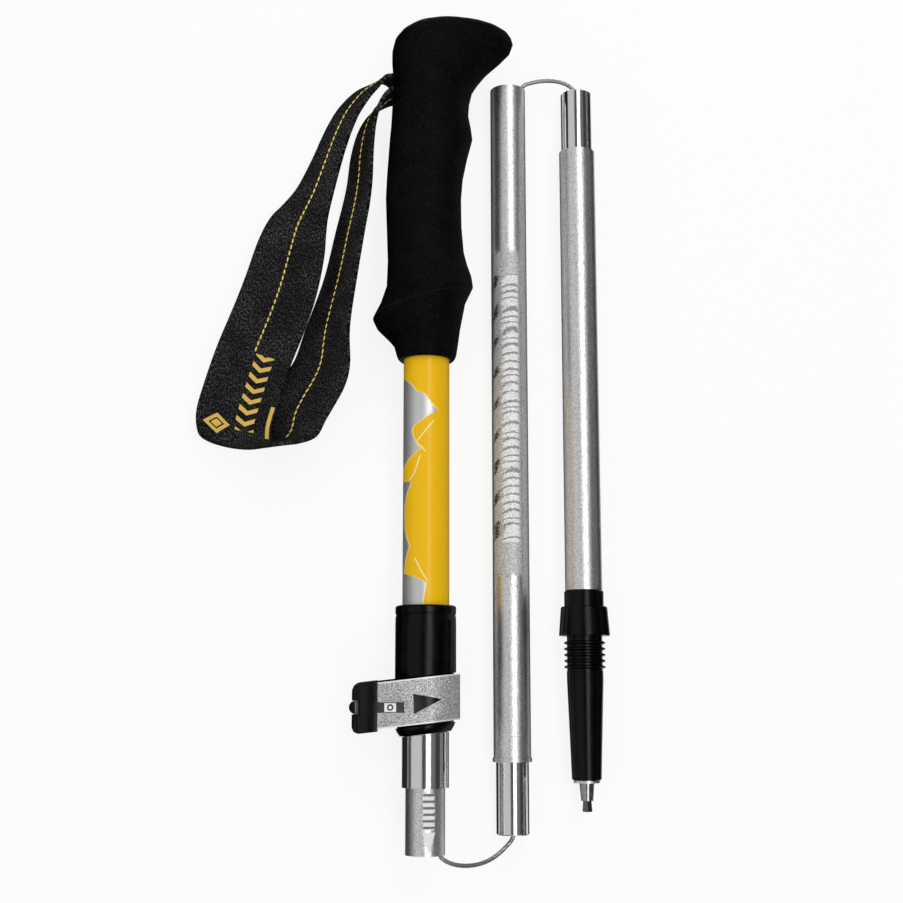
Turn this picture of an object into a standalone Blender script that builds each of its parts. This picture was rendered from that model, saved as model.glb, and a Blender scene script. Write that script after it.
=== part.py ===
"""Folding trekking pole, folded into three columns and lying flat.

The pole has five tubes: the painted handle tube, an extension tube that slides out of it under a
lever clamp, a lower tube that slides out of that one, and two folding sections held by a steel cord.
X runs across the three columns, Y along them towards the grip's head, Z up from the surface that the
pole lies on. The origin is on the lowest line of the middle tube, at half its length.
"""

import math

import bmesh
import bpy
from mathutils import Matrix, Vector

# Clearances, in metres
SEAT_GAP = 0.0003        # between pieces that touch on the real pole
FIT_GAP = 0.00015        # round a piece that sits in a bore
SLIDE_GAP = 0.0002       # round a ferrule or a bush that slides
CUT_CLEAR = 0.010        # how far a cutter runs past what it cuts

# Facets of turned pieces; all tubes share one count, so nested walls stay parallel
TUBE_SIDES = 40
SMALL_SIDES = 24
FACET_TURN = math.pi / TUBE_SIDES

# Folding sections
SECTION_RADIUS = 0.0080
SECTION_WALL = 0.0008
MIDDLE_LENGTH = 0.3010
TIP_TUBE_LENGTH = 0.1993
FERRULE_WALL = 0.0007
FERRULE_SEAT = 0.0280          # length of a ferrule inside its own tube
MIDDLE_FERRULE_REACH = 0.0300  # length that stands out of the tube
TIP_FERRULE_REACH = 0.0283
END_RING_PROUD = 0.0004
END_RING_THICK = 0.0018
GROMMET_THICK = 0.0060
GROMMET_INSET = 0.0005
TIP_COLUMN_TOP = 0.1477        # end of the tip section's ferrule

# The three columns side by side
HANDLE_X = -0.0368
TIP_X = 0.0313
GRIP_HALF_DEPTH = 0.0215       # the flange at the grip's lower end lies on the surface

# Handle and its tube
GRIP_END = 0.0195              # lower end of the grip
GRIP_LENGTH = 0.1575
GRIP_REACH = 0.0390            # from the handle axis to the nose of the head
HANDLE_TUBE_RADIUS = 0.0100
HANDLE_TUBE_WALL = 0.0007
TUBE_PLUG_DEPTH = 0.0075
TUBE_PLUG_FLANGE = 0.0012

# Strap anchor in the head
STRAP_PIN_RADIUS = 0.0020
STRAP_PIN_BACK = 0.0068        # from the handle axis towards the strap
STRAP_PIN_FROM_CROWN = 0.0312
ANCHOR_WALL = 0.0012
ANCHOR_HALF_HEIGHT = 0.0086
ANCHOR_HALF_WIDTH = 0.0113
ANCHOR_MOUTH = 0.0149          # from the handle axis to the open side
ANCHOR_REAR = 0.0010
TUBE_TO_ANCHOR = 0.0100        # from the handle tube's end to the anchor
STRAP_THICK = 0.0018

# Lever clamp
CLAMP_TOP = -0.0874
CLAMP_SLEEVE_RADIUS = 0.0129
CLAMP_LIP_HEIGHT = 0.0033
CLAMP_GROOVE = 0.0003
CLAMP_BEVEL = 0.0006
CLAMP_LEDGE = -0.1123          # the handle tube stops here
CLAMP_WAIST_TOP = -0.1166
CLAMP_WAIST_RADIUS = 0.0119
CLAMP_COLLAR_TOP = -0.1370
CLAMP_COLLAR_RADIUS = 0.0126
CLAMP_COLLAR_END_RADIUS = 0.0108
COLLAR_SHOULDER = 0.0015
CLAMP_END = -0.1404
CLAMP_SLANT = 0.1136           # rise of the lever's edges per metre across
SLANT_START = -0.0950
LEVER_HEIGHT_AT = -0.12675     # middle of the lever on the handle axis
PIVOT_BACK = 0.0252            # lever pivot from the handle axis
PIVOT_RISE = 0.0085
PIVOT_PIN_RADIUS = 0.0025
CAM_RADIUS = 0.0051
CAM_HALF_HEIGHT = 0.0104
CAM_CORNER = 0.0036            # rounding of the cam head seen from the front
CORNER_POINTS = 6
CAM_RIBS = 5
CAM_RIB_DEPTH = 0.0007
CAM_ROOF = 0.0049              # top of the fork over the pivot
FORK_DEPTH = 0.0024            # beyond the pivot
LEVER_HALF_HEIGHT = 0.0092
COVER_HALF_HEIGHT = 0.0094
COVER_THICK = 0.0009
LEVER_OUTER = 0.0145
LEVER_INNER = 0.0122
LEVER_WRAP_END = -8.0          # degrees below the horizontal on the far side
COVER_LEFT = 0.0194            # left end of the cover from the handle axis
COVER_SLOT_HALF = 0.0021
COVER_SLOT_END = 0.0085
# Arrow in the cover: corners from the handle axis and the lever's middle line
ARROW_CORNERS = ((-0.0048, 0.00265), (-0.0045, -0.00555), (0.0070, 0.00055))
CAM_CHIN = 0.0016              # where the arm meets the head, over the cam's lowest line
CAM_BROW = 0.0022              # where the head's top begins to round off, from the pivot
CAM_FLAT = (0.0008, 0.0042)    # the flat that presses on the plate, from the pivot
SOFT_EDGE = 0.0004
ARM_OVERLAP = 0.0006
# Underside of the lever's arm, from the handle axis
ARM_UNDERSIDE = ((-0.0178, 0.0064), (-0.0158, 0.0086), (-0.0115, 0.0108), (-0.0070, 0.0119))
BOLT_RADIUS = 0.0018
BOLT_SEAT = 0.0010             # the bolt's end over the pivot, in the pin
BOLT_RECESS = 0.0020           # its other end, over the surface
NUT_CAP = 0.0018
NUT_RIB = 0.0007
BOLT_SLOT = 0.0056             # width of the fork in the cam
EAR_REACH = 0.0298
EAR_HALF_HEIGHT = 0.0085
EAR_TOP_REACH = 0.0104         # the ear shows beside the band on this side
EAR_ROOT = 0.0098              # inner end of the ears, inside the sleeve's wall
KNUCKLE_RADIUS = 0.0028
KNUCKLE_PROUD = 0.0022
FRONT_EAR_TOP = 0.0022
CLAMP_SPLIT = -0.0050          # height of the split against the handle axis
SPLIT_WIDTH = 0.0014
REAR_EAR_BOTTOM = -0.0120
CAM_PLATE_THICK = 0.0008
CAM_PLATE_HALF = 0.0042
CAM_PLATE_REACH = 0.0062
NUT_RADIUS = 0.0060
NUT_RIBS = 16

# Extension tube and lower tube
EXTENSION_RADIUS = 0.00915
EXTENSION_WALL = 0.00055
EXTENSION_INSET = 0.0140       # its top end below the handle tube's
END_SLEEVE_RADIUS = 0.00985
END_SLEEVE_END = -0.1623
END_SLEEVE_LIP = 0.0010
LOWER_TUBE_RADIUS = 0.0083
LOWER_TUBE_WALL = 0.0011
LOWER_TUBE_END = -0.1893
LOWER_TUBE_LENGTH = 0.1363
BUSH_FLANGE = 0.0040
BUSH_SPIGOT = 0.0100
BUSH_WALL = 0.0011
BUTTON_FROM_TOP = 0.0300       # button centre from the lower tube's inner end
BUTTON_RADIUS = 0.0030
BUTTON_HEIGHT = 0.0032
BUTTON_EDGE = 0.0006
BUTTON_RECESS = 0.0004         # the button's flat top, below the lower tube's outside
LEAF_WIDTH = 0.0050
LEAF_THICK = 0.0005
LEAF_HALF_LENGTH = 0.0170

# Cord
CORD_RADIUS = 0.0009
CORD_HOLE = 0.0012
LOWER_FOLD_GAP = 0.0120        # between tube end and ferrule end when the fold is open
UPPER_FOLD_GAP = 0.0100
CRIMP_RADIUS = 0.0025
CRIMP_LENGTH = 0.0060
CRIMP_END = 0.0012
CORD_PLUG_THICK = 0.0040

# Tip
COLLAR_RADIUS = 0.0085
COLLAR_HEIGHT = 0.0068
FLARE_TOP_RADIUS = 0.0100
FLARE_RADIUS = 0.0109
FLARE_HEIGHT = 0.0124
THREAD_RADIUS = 0.0088
THREAD_ROOT = 0.0076
THREAD_HEIGHT = 0.0150
THREAD_RIBS = 5
THREAD_RELIEF = 0.0022         # plain stretch under the flare, where a basket seats
TIP_BODY_RADIUS = 0.0078
TIP_BODY_MID_RADIUS = 0.0067
TIP_BODY_END_RADIUS = 0.0059
TIP_BODY_HEIGHT = 0.0455
TIP_BODY_MID = 0.0335
TIP_BODY_PLAIN = 0.0040
SPIGOT_LENGTH = 0.0240
TIP_RING_RADIUS = 0.0056
TIP_RING_THICK = 0.0010
HOLDER_RADIUS = 0.0032
HOLDER_END_RADIUS = 0.0026
HOLDER_LENGTH = 0.0072
HOLDER_SHANK = 0.0150
POINT_RADIUS = 0.0023
POINT_LENGTH = 0.0045
POINT_SHANK = 0.0037
POINT_FLUTES = 6
FLUTE_DEPTH = 0.08             # as a share of the radius

# What follows from them
MIDDLE_X = 0.0
MIDDLE_Z = SECTION_RADIUS * math.cos(FACET_TURN)
SURFACE_Z = -END_RING_PROUD * math.cos(FACET_TURN)
HANDLE_Z = SURFACE_Z + GRIP_HALF_DEPTH
TIP_Z = SURFACE_Z + FLARE_RADIUS * math.cos(FACET_TURN)
MIDDLE_TOP = MIDDLE_LENGTH / 2
MIDDLE_END = -MIDDLE_LENGTH / 2
SECTION_BORE = SECTION_RADIUS - SECTION_WALL
FERRULE_RADIUS = SECTION_BORE - SLIDE_GAP
FERRULE_BORE = FERRULE_RADIUS - FERRULE_WALL
END_RING_END = MIDDLE_END - FIT_GAP - END_RING_THICK
MIDDLE_FERRULE_END = END_RING_END - MIDDLE_FERRULE_REACH
TIP_TUBE_TOP = TIP_COLUMN_TOP - TIP_FERRULE_REACH
TIP_TUBE_END = TIP_TUBE_TOP - TIP_TUBE_LENGTH
HANDLE_BORE = HANDLE_TUBE_RADIUS - HANDLE_TUBE_WALL
EXTENSION_BORE = EXTENSION_RADIUS - EXTENSION_WALL
LOWER_BORE = LOWER_TUBE_RADIUS - LOWER_TUBE_WALL
LOWER_TUBE_TOP = LOWER_TUBE_END + LOWER_TUBE_LENGTH
BUTTON_Y = LOWER_TUBE_TOP - BUTTON_FROM_TOP
STRAP_PIN_X = HANDLE_X - STRAP_PIN_BACK
STRAP_PIN_HEIGHT = GRIP_END + GRIP_LENGTH - STRAP_PIN_FROM_CROWN
HANDLE_TUBE_TOP = STRAP_PIN_HEIGHT - ANCHOR_HALF_HEIGHT - TUBE_TO_ANCHOR
EXTENSION_TOP = HANDLE_TUBE_TOP - EXTENSION_INSET
PIVOT_X = HANDLE_X - PIVOT_BACK
PIVOT_Y = LEVER_HEIGHT_AT - CLAMP_SLANT * PIVOT_BACK
PIVOT_Z = HANDLE_Z + PIVOT_RISE
LOWER_PIVOT = Vector(((HANDLE_X + MIDDLE_X) / 2,
                      (LOWER_TUBE_END + MIDDLE_FERRULE_END - LOWER_FOLD_GAP) / 2,
                      (HANDLE_Z + MIDDLE_Z) / 2))
UPPER_PIVOT = Vector(((MIDDLE_X + TIP_X) / 2,
                      (MIDDLE_TOP + TIP_COLUMN_TOP + UPPER_FOLD_GAP) / 2,
                      (MIDDLE_Z + TIP_Z) / 2))

# Grip sections, from the lower end to the crown. Height above the end, rise of the section's plane
# towards the front, reach to the back, place of the thickest line, reach to the front, half depth
# as a share of the flange's, and how pointed the front is: 2 is an ellipse, less is a beak.
GRIP_SECTIONS = (
    (0.0000, 0.00, 0.0117, 0.0000, 0.0117, 0.560, 2.0),
    (0.0008, 0.00, 0.0125, 0.0000, 0.0124, 0.590, 2.0),
    (0.0022, 0.00, 0.0131, 0.0000, 0.0130, 0.610, 2.0),
    (0.0072, 0.05, 0.0143, 0.0000, 0.0139, 0.665, 2.0),
    (0.0118, 0.15, 0.0166, 0.0000, 0.0147, 0.765, 2.0),
    (0.0210, 0.30, 0.0218, 0.0000, 0.0170, 0.920, 2.0),
    (0.0263, 0.34, 0.0236, 0.0000, 0.0204, 1.000, 2.0),
    (0.0313, 0.33, 0.0205, 0.0000, 0.0197, 0.890, 2.0),
    (0.0380, 0.28, 0.0177, 0.0000, 0.0179, 0.768, 2.0),
    (0.0468, 0.12, 0.0173, 0.0000, 0.0164, 0.695, 2.0),
    (0.0605, 0.00, 0.0179, 0.0000, 0.0154, 0.667, 2.1),
    (0.0738, 0.00, 0.0184, 0.0000, 0.0152, 0.667, 2.1),
    (0.0835, 0.00, 0.0180, 0.0000, 0.0160, 0.680, 2.1),
    (0.0928, 0.00, 0.0174, 0.0000, 0.0179, 0.705, 2.0),
    (0.1020, 0.00, 0.0168, 0.0000, 0.0203, 0.732, 1.9),
    (0.1073, 0.00, 0.0163, 0.0000, 0.0196, 0.730, 1.9),
    (0.1128, 0.00, 0.0160, 0.0000, 0.0185, 0.726, 2.0),
    (0.1188, 0.00, 0.0157, 0.0000, 0.0189, 0.745, 2.0),
    (0.1248, 0.00, 0.0156, 0.0000, 0.0203, 0.775, 1.9),
    (0.1290, 0.00, 0.0156, 0.0000, 0.0231, 0.805, 1.8),
    (0.1334, 0.00, 0.0157, 0.0000, 0.0269, 0.840, 1.6),
    (0.1380, 0.00, 0.0160, 0.0003, 0.0324, 0.868, 1.45),
    (0.1430, 0.00, 0.0160, 0.0006, 0.0373, 0.882, 1.35),
    (0.1477, 0.00, 0.0149, 0.0012, 0.0390, 0.860, 1.3),
    (0.1508, 0.00, 0.0126, 0.0030, 0.0381, 0.805, 1.35),
    (0.1536, 0.00, 0.0090, 0.0060, 0.0362, 0.710, 1.5),
    (0.1556, 0.00, 0.0040, 0.0092, 0.0330, 0.570, 1.6),
    (0.1569, 0.00, -0.0025, 0.0118, 0.0290, 0.420, 1.8),
    (0.1575, 0.00, -0.0090, 0.0140, 0.0232, 0.270, 1.9),
)
GRIP_SIDES = 40
GRIP_BACK_ROUNDNESS = 2.2
GRIP_STRETCH = GRIP_LENGTH / GRIP_SECTIONS[-1][0]
GRIP_SPREAD = GRIP_REACH / max(section[4] for section in GRIP_SECTIONS)

# Strap stations round the loop, from the anchor out along the upper leg and back along the lower.
# Centre (x and y from the strap pin, height over the surface), heading of the width in plan, tilt of
# the width, in degrees, and half width. The legs leave the anchor with the webbing on edge.
STRAP_STATIONS = (
    (-0.0044, 0.0031, 0.0215, -90, 90, 0.0090),
    (-0.0092, 0.0036, 0.0215, -80, 84, 0.0090),
    (-0.0130, 0.0046, 0.0214, -66, 72, 0.0090),
    (-0.0177, 0.0014, 0.0213, -54, 62, 0.0090),
    (-0.0228, -0.0027, 0.0212, -45, 54, 0.0090),
    (-0.0286, -0.0101, 0.0209, -37, 48, 0.0090),
    (-0.0326, -0.0180, 0.0205, -31, 44, 0.0090),
    (-0.0355, -0.0253, 0.0201, -27, 41, 0.0090),
    (-0.0382, -0.0330, 0.0196, -25, 37, 0.0090),
    (-0.0435, -0.0478, 0.0190, -24, 28, 0.0100),
    (-0.0477, -0.0568, 0.0186, -23, 20, 0.0118),
    (-0.0509, -0.0638, 0.0184, -21, 14, 0.0140),
    (-0.0538, -0.0745, 0.0184, -18, 9, 0.0158),
    (-0.0580, -0.0914, 0.0184, -16, 6, 0.0167),
    (-0.0628, -0.1061, 0.0184, -18, 4, 0.0169),
    (-0.0697, -0.1245, 0.0182, -18, 2, 0.0169),
    (-0.0749, -0.1418, 0.0178, -14, 0, 0.0170),
    (-0.0773, -0.1508, 0.0172, -13, 2, 0.0170),
    (-0.0777, -0.1562, 0.0162, -13, 12, 0.0168),
    (-0.0754, -0.1596, 0.0154, -11, 32, 0.0165),
    (-0.0700, -0.1612, 0.0153, -9, 50, 0.0165),
    (-0.0630, -0.1614, 0.0153, -10, 58, 0.0165),
    (-0.0566, -0.1602, 0.0150, -14, 55, 0.0165),
    (-0.0526, -0.1553, 0.0145, -19, 42, 0.0165),
    (-0.0504, -0.1483, 0.0140, -19, 32, 0.0165),
    (-0.0470, -0.1408, 0.0138, -18, 28, 0.0165),
    (-0.0428, -0.1333, 0.0138, -17, 30, 0.0165),
    (-0.0395, -0.1248, 0.0138, -16, 37, 0.0163),
    (-0.0374, -0.1093, 0.0140, -14, 48, 0.0158),
    (-0.0319, -0.0853, 0.0140, -12, 56, 0.0145),
    (-0.0279, -0.0638, 0.0134, -10, 54, 0.0120),
    (-0.0257, -0.0528, 0.0132, -9, 50, 0.0100),
    (-0.0240, -0.0418, 0.0136, -9, 50, 0.0090),
    (-0.0228, -0.0278, 0.0150, -14, 55, 0.0090),
    (-0.0205, -0.0168, 0.0170, -30, 62, 0.0090),
    (-0.0167, -0.0092, 0.0190, -50, 72, 0.0090),
    (-0.0116, -0.0046, 0.0208, -75, 84, 0.0090),
    (-0.0074, -0.0031, 0.0215, -90, 90, 0.0090),
    (-0.0034, -0.0031, 0.0215, -90, 90, 0.0090),
)
STRAP_WRAP_POINTS = 5
STRAP_SUBSTEPS = 2

# Cord arcs between the tubes, as points (x, y, z) chosen by hand. The first point of each starts on
# the axis of the tube that it leaves, the last ends in the grommet of the ferrule that it enters.
LOWER_ARC = (
    (-0.0368, -0.1585, 0.0211),
    (-0.0368, -0.1595, 0.0211),
    (-0.0367, -0.1640, 0.0211),
    (-0.0358, -0.1715, 0.0211),
    (-0.0336, -0.1790, 0.0211),
    (-0.0316, -0.1850, 0.0211),
    (-0.0308, -0.1890, 0.0210),
    (-0.0297, -0.1909, 0.0207),
    (-0.0270, -0.1926, 0.0198),
    (-0.0236, -0.1937, 0.0184),
    (-0.0195, -0.1942, 0.0165),
    (-0.0155, -0.1940, 0.0145),
    (-0.0117, -0.1931, 0.0126),
    (-0.0082, -0.1915, 0.0108),
    (-0.0052, -0.1894, 0.0094),
    (-0.0026, -0.1870, 0.0084),
    (-0.0008, -0.1850, 0.0080),
    (0.0000, -0.1835, 0.0080),
    (0.0000, -0.1826, 0.0080),
)
UPPER_ARC = (
    (0.0000, 0.1205, 0.0080),
    (0.0000, 0.1215, 0.0080),
    (0.0003, 0.1265, 0.0080),
    (0.0018, 0.1330, 0.0080),
    (0.0042, 0.1400, 0.0080),
    (0.0057, 0.1455, 0.0080),
    (0.0059, 0.1500, 0.0080),
    (0.0064, 0.1520, 0.0081),
    (0.0083, 0.1538, 0.0082),
    (0.0112, 0.1546, 0.0084),
    (0.0145, 0.1552, 0.0087),
    (0.0182, 0.1553, 0.0091),
    (0.0217, 0.1549, 0.0095),
    (0.0250, 0.1540, 0.0099),
    (0.0278, 0.1525, 0.0102),
    (0.0299, 0.1506, 0.0104),
    (0.0313, 0.1488, 0.0105),
    (0.0313, 0.1478, 0.0105),
)

PARTS = "folding_trekking_pole"
CUTTERS = "cutters"

# Colour, roughness and metallic of each material
FINISHES = {
    "grip_foam": ((0.012, 0.012, 0.013), 0.85, 0.0),
    "black_plastic": ((0.010, 0.010, 0.011), 0.38, 0.0),
    "webbing": ((0.022, 0.022, 0.024), 0.80, 0.0),
    "yellow_paint": ((0.84, 0.49, 0.005), 0.30, 0.0),
    "satin_aluminium": ((0.62, 0.62, 0.63), 0.35, 1.0),
    "polished_aluminium": ((0.80, 0.80, 0.81), 0.08, 1.0),
    "lever_silver": ((0.50, 0.50, 0.51), 0.45, 0.8),
    "steel": ((0.52, 0.52, 0.53), 0.30, 1.0),
    "cord_steel": ((0.40, 0.40, 0.40), 0.45, 0.9),
    "natural_plastic": ((0.55, 0.54, 0.50), 0.50, 0.0),
}


# Scene, materials and building tools

def clear_scene():
    for obj in list(bpy.data.objects):
        bpy.data.objects.remove(obj, do_unlink=True)


def collection(name):
    made = bpy.data.collections.get(name)
    if made is None:
        made = bpy.data.collections.new(name)
        bpy.context.scene.collection.children.link(made)
    return made


def finish_of(name):
    made = bpy.data.materials.get(name)
    if made is None:
        colour, roughness, metallic = FINISHES[name]
        made = bpy.data.materials.new(name)
        made.use_nodes = True
        shader = made.node_tree.nodes["Principled BSDF"]
        shader.inputs["Base Color"].default_value = (*colour, 1.0)
        shader.inputs["Roughness"].default_value = roughness
        shader.inputs["Metallic"].default_value = metallic
        made.diffuse_color = (*colour, 1.0)
    return made


def keep(obj, finish, parent=None):
    """Puts a finished piece in the pole's collection, under the empty of its moving body."""
    collection(PARTS).objects.link(obj)
    obj.data.materials.append(finish_of(finish))
    hang(obj, parent)
    return obj


def hang(obj, parent):
    if parent is not None:
        obj.parent = parent
        obj.matrix_parent_inverse = parent.matrix_world.inverted()


def joint_empty(name, place, parent=None):
    """An empty on a joint's axis, which carries the pieces that move with the joint."""
    empty = bpy.data.objects.new(name, None)
    empty.empty_display_size = 0.02
    empty.location = place
    collection(PARTS).objects.link(empty)
    bpy.context.view_layer.update()
    hang(empty, parent)
    bpy.context.view_layer.update()
    return empty


def object_from(bm, name):
    mesh = bpy.data.meshes.new(name)
    bm.normal_update()
    bm.to_mesh(mesh)
    bm.free()
    return bpy.data.objects.new(name, mesh)


def smooth_round(obj, angle=40.0):
    obj.data.shade_smooth()
    obj.data.set_sharp_from_angle(angle=math.radians(angle))


def profile_object(name, outline, hollow):
    """A profile in the XZ plane: an open line from axis to axis, or a closed loop for a tube."""
    bm = bmesh.new()
    points = [bm.verts.new((radius, 0.0, height)) for radius, height in outline]
    for first, second in zip(points, points[1:]):
        bm.edges.new((first, second))
    if hollow:
        bm.edges.new((points[-1], points[0]))
    return object_from(bm, name)


def turned(name, outline, x, z, sides=TUBE_SIDES, hollow=True):
    """A shape turned about a column's axis. The outline gives (radius, y), down its outer side."""
    obj = profile_object(name, outline, hollow)
    obj.location = (x, 0.0, z)
    obj.rotation_euler = (-math.pi / 2, math.pi / sides, 0.0)
    screw = obj.modifiers.new("turn", "SCREW")
    screw.angle = 2 * math.pi
    screw.steps = sides
    screw.render_steps = sides
    screw.axis = "Z"
    screw.use_merge_vertices = True
    screw.merge_threshold = 0.00001
    screw.use_smooth_shade = True
    return obj


def tube(name, outer, bore, low, high, x, z):
    return turned(name, [(outer, high), (outer, low), (bore, low), (bore, high)], x, z)


def box(name, low, high):
    low, high = Vector(low), Vector(high)
    bm = bmesh.new()
    bmesh.ops.create_cube(bm, size=1.0)
    bmesh.ops.scale(bm, vec=high - low, verts=bm.verts)
    bmesh.ops.translate(bm, vec=(low + high) / 2, verts=bm.verts)
    return object_from(bm, name)


def rod(name, radius, first, second, sides=SMALL_SIDES):
    """A cylinder between two points."""
    first, second = Vector(first), Vector(second)
    span = second - first
    bm = bmesh.new()
    bmesh.ops.create_cone(bm, cap_ends=True, segments=sides, radius1=radius, radius2=radius,
                          depth=span.length)
    turn = span.to_track_quat("Z", "Y").to_matrix()
    bmesh.ops.rotate(bm, cent=(0, 0, 0), matrix=turn, verts=bm.verts)
    bmesh.ops.translate(bm, vec=(first + second) / 2, verts=bm.verts)
    return object_from(bm, name)


def real_mesh(obj, name=None):
    """The object with its modifiers and its curve made into a plain mesh, welded."""
    if not obj.users_collection:
        collection(PARTS).objects.link(obj)
    bpy.context.view_layer.update()
    graph = bpy.context.evaluated_depsgraph_get()
    mesh = bpy.data.meshes.new_from_object(obj.evaluated_get(graph))
    mesh.transform(obj.matrix_world)
    made_name = name or obj.name
    bpy.data.objects.remove(obj, do_unlink=True)
    bm = bmesh.new()
    bm.from_mesh(mesh)
    bmesh.ops.remove_doubles(bm, verts=bm.verts, dist=0.000001)
    bmesh.ops.recalc_face_normals(bm, faces=bm.faces)
    bm.to_mesh(mesh)
    bm.free()
    made = bpy.data.objects.new(made_name, mesh)
    mesh.name = made_name
    return made


def extruded(name, outline, middle, half_height):
    """A flat outline in the XZ plane, given thickness along Y on both sides of a middle plane."""
    curve = bpy.data.curves.new(name, "CURVE")
    curve.dimensions = "2D"
    curve.fill_mode = "BOTH"
    curve.extrude = half_height
    spline = curve.splines.new("POLY")
    spline.points.add(len(outline) - 1)
    spline.use_cyclic_u = True
    for point, (x, z) in zip(spline.points, outline):
        point.co = (x, z, 0.0, 1.0)
    obj = bpy.data.objects.new(name, curve)
    obj.rotation_euler = (math.pi / 2, 0.0, 0.0)
    obj.location = (0.0, middle, 0.0)
    return real_mesh(obj)


def cut(obj, cutter, operation="DIFFERENCE"):
    """A Boolean against a helper, which goes to the cutters' collection, out of the render."""
    collection(CUTTERS).objects.link(cutter)
    cutter.hide_render = True
    cutter.display_type = "WIRE"
    modifier = obj.modifiers.new(cutter.name, "BOOLEAN")
    modifier.operation = operation
    modifier.solver = "EXACT"
    modifier.object = cutter
    return obj


def loft(name, rings, closed_loop=False):
    """A skin over rings of equally many points; its ends are filled, or joined in a closed loop."""
    bm = bmesh.new()
    loops = [[bm.verts.new(point) for point in ring] for ring in rings]
    pairs = list(zip(loops, loops[1:]))
    if closed_loop:
        pairs.append((loops[-1], loops[0]))
    for low, high in pairs:
        for i in range(len(low)):
            j = (i + 1) % len(low)
            bm.faces.new((low[i], low[j], high[j], high[i]))
    if not closed_loop:
        bm.faces.new(list(reversed(loops[0])))
        bm.faces.new(loops[-1])
    bmesh.ops.recalc_face_normals(bm, faces=bm.faces)
    return object_from(bm, name)


def arc_points(radius, first, last, count, centre=(0.0, 0.0)):
    """Points (x, z) on an arc, in degrees from the X axis towards Z."""
    step = (last - first) / (count - 1)
    angles = [math.radians(first + step * i) for i in range(count)]
    return [(centre[0] + radius * math.cos(a), centre[1] + radius * math.sin(a)) for a in angles]


def cord(name, points, parent, finish="cord_steel"):
    """A round cord along points, as a bevelled curve."""
    curve = bpy.data.curves.new(name, "CURVE")
    curve.dimensions = "3D"
    curve.bevel_depth = CORD_RADIUS
    curve.bevel_resolution = 2
    curve.use_fill_caps = True
    spline = curve.splines.new("POLY")
    spline.points.add(len(points) - 1)
    for point, place in zip(spline.points, points):
        point.co = (*place, 1.0)
    return keep(bpy.data.objects.new(name, curve), finish, parent)


def smooth_route(points, substeps):
    """Points on a smooth curve through the given ones, more closely spaced."""
    places = [Vector(p) for p in points]
    padded = [2 * places[0] - places[1], *places, 2 * places[-1] - places[-2]]
    route = []
    for i in range(1, len(padded) - 2):
        for k in range(substeps):
            route.append(between(padded[i - 1:i + 3], k / substeps))
    route.append(places[-1])
    return route


def between(four, t):
    """The Catmull-Rom curve between the middle two of four points or number rows."""
    a, b, c, d = four
    return 0.5 * ((2 * b) + (c - a) * t + (2 * a - 5 * b + 4 * c - d) * t * t
                  + (3 * b - a - 3 * c + d) * t * t * t)


# Handle: grip, strap anchor and painted tube

def grip_ring(section):
    height, rise, back, spine, front, depth, nose = section
    middle = GRIP_END + height * GRIP_STRETCH
    half_depth = depth * GRIP_HALF_DEPTH
    ring = []
    for i in range(GRIP_SIDES):
        turn = 2 * math.pi * (i + 0.5) / GRIP_SIDES
        c, s = math.cos(turn), math.sin(turn)
        power = nose if c > 0 else GRIP_BACK_ROUNDNESS
        reach = front - spine if c > 0 else back + spine
        x = GRIP_SPREAD * (spine + math.copysign(reach * abs(c) ** (2 / power), c))
        z = math.copysign(half_depth * abs(s) ** (2 / power), s)
        ring.append((HANDLE_X + x, middle + rise * x, HANDLE_Z + z))
    return ring


def make_grip(parent):
    grip = loft("grip_foam", [grip_ring(section) for section in GRIP_SECTIONS])
    plug_top = HANDLE_TUBE_TOP + TUBE_PLUG_FLANGE + 2 * SEAT_GAP
    bore = rod("grip_bore", HANDLE_TUBE_RADIUS + FIT_GAP, (HANDLE_X, GRIP_END - CUT_CLEAR, HANDLE_Z),
               (HANDLE_X, plug_top, HANDLE_Z), sides=TUBE_SIDES)
    cut(grip, bore)
    low = (HANDLE_X - ANCHOR_MOUTH - CUT_CLEAR, STRAP_PIN_HEIGHT - ANCHOR_HALF_HEIGHT - FIT_GAP,
           HANDLE_Z - ANCHOR_HALF_WIDTH - FIT_GAP)
    high = (HANDLE_X - ANCHOR_REAR + FIT_GAP, STRAP_PIN_HEIGHT + ANCHOR_HALF_HEIGHT + FIT_GAP,
            HANDLE_Z + ANCHOR_HALF_WIDTH + FIT_GAP)
    cut(grip, box("strap_pocket", low, high))
    keep(grip, "grip_foam", parent)
    smooth_round(grip, 50)


def make_strap_anchor(parent):
    low = (HANDLE_X - ANCHOR_MOUTH, STRAP_PIN_HEIGHT - ANCHOR_HALF_HEIGHT, HANDLE_Z - ANCHOR_HALF_WIDTH)
    high = (HANDLE_X - ANCHOR_REAR, STRAP_PIN_HEIGHT + ANCHOR_HALF_HEIGHT, HANDLE_Z + ANCHOR_HALF_WIDTH)
    anchor = box("strap_anchor", low, high)
    inner_low = (low[0] - CUT_CLEAR, low[1] + ANCHOR_WALL, low[2] + ANCHOR_WALL)
    inner_high = (high[0] - ANCHOR_WALL, high[1] - ANCHOR_WALL, high[2] - ANCHOR_WALL)
    cut(anchor, box("strap_anchor_hollow", inner_low, inner_high))
    pin_ends = [(STRAP_PIN_X, STRAP_PIN_HEIGHT, HANDLE_Z + side * (ANCHOR_HALF_WIDTH + ANCHOR_WALL))
                for side in (-1, 1)]
    cut(anchor, rod("strap_pin_holes", STRAP_PIN_RADIUS + FIT_GAP, *pin_ends))
    keep(anchor, "black_plastic", parent)
    pin_half = ANCHOR_HALF_WIDTH - FIT_GAP
    pin = rod("strap_pin", STRAP_PIN_RADIUS, (STRAP_PIN_X, STRAP_PIN_HEIGHT, HANDLE_Z - pin_half),
              (STRAP_PIN_X, STRAP_PIN_HEIGHT, HANDLE_Z + pin_half))
    keep(pin, "steel", parent)
    smooth_round(pin)


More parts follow.
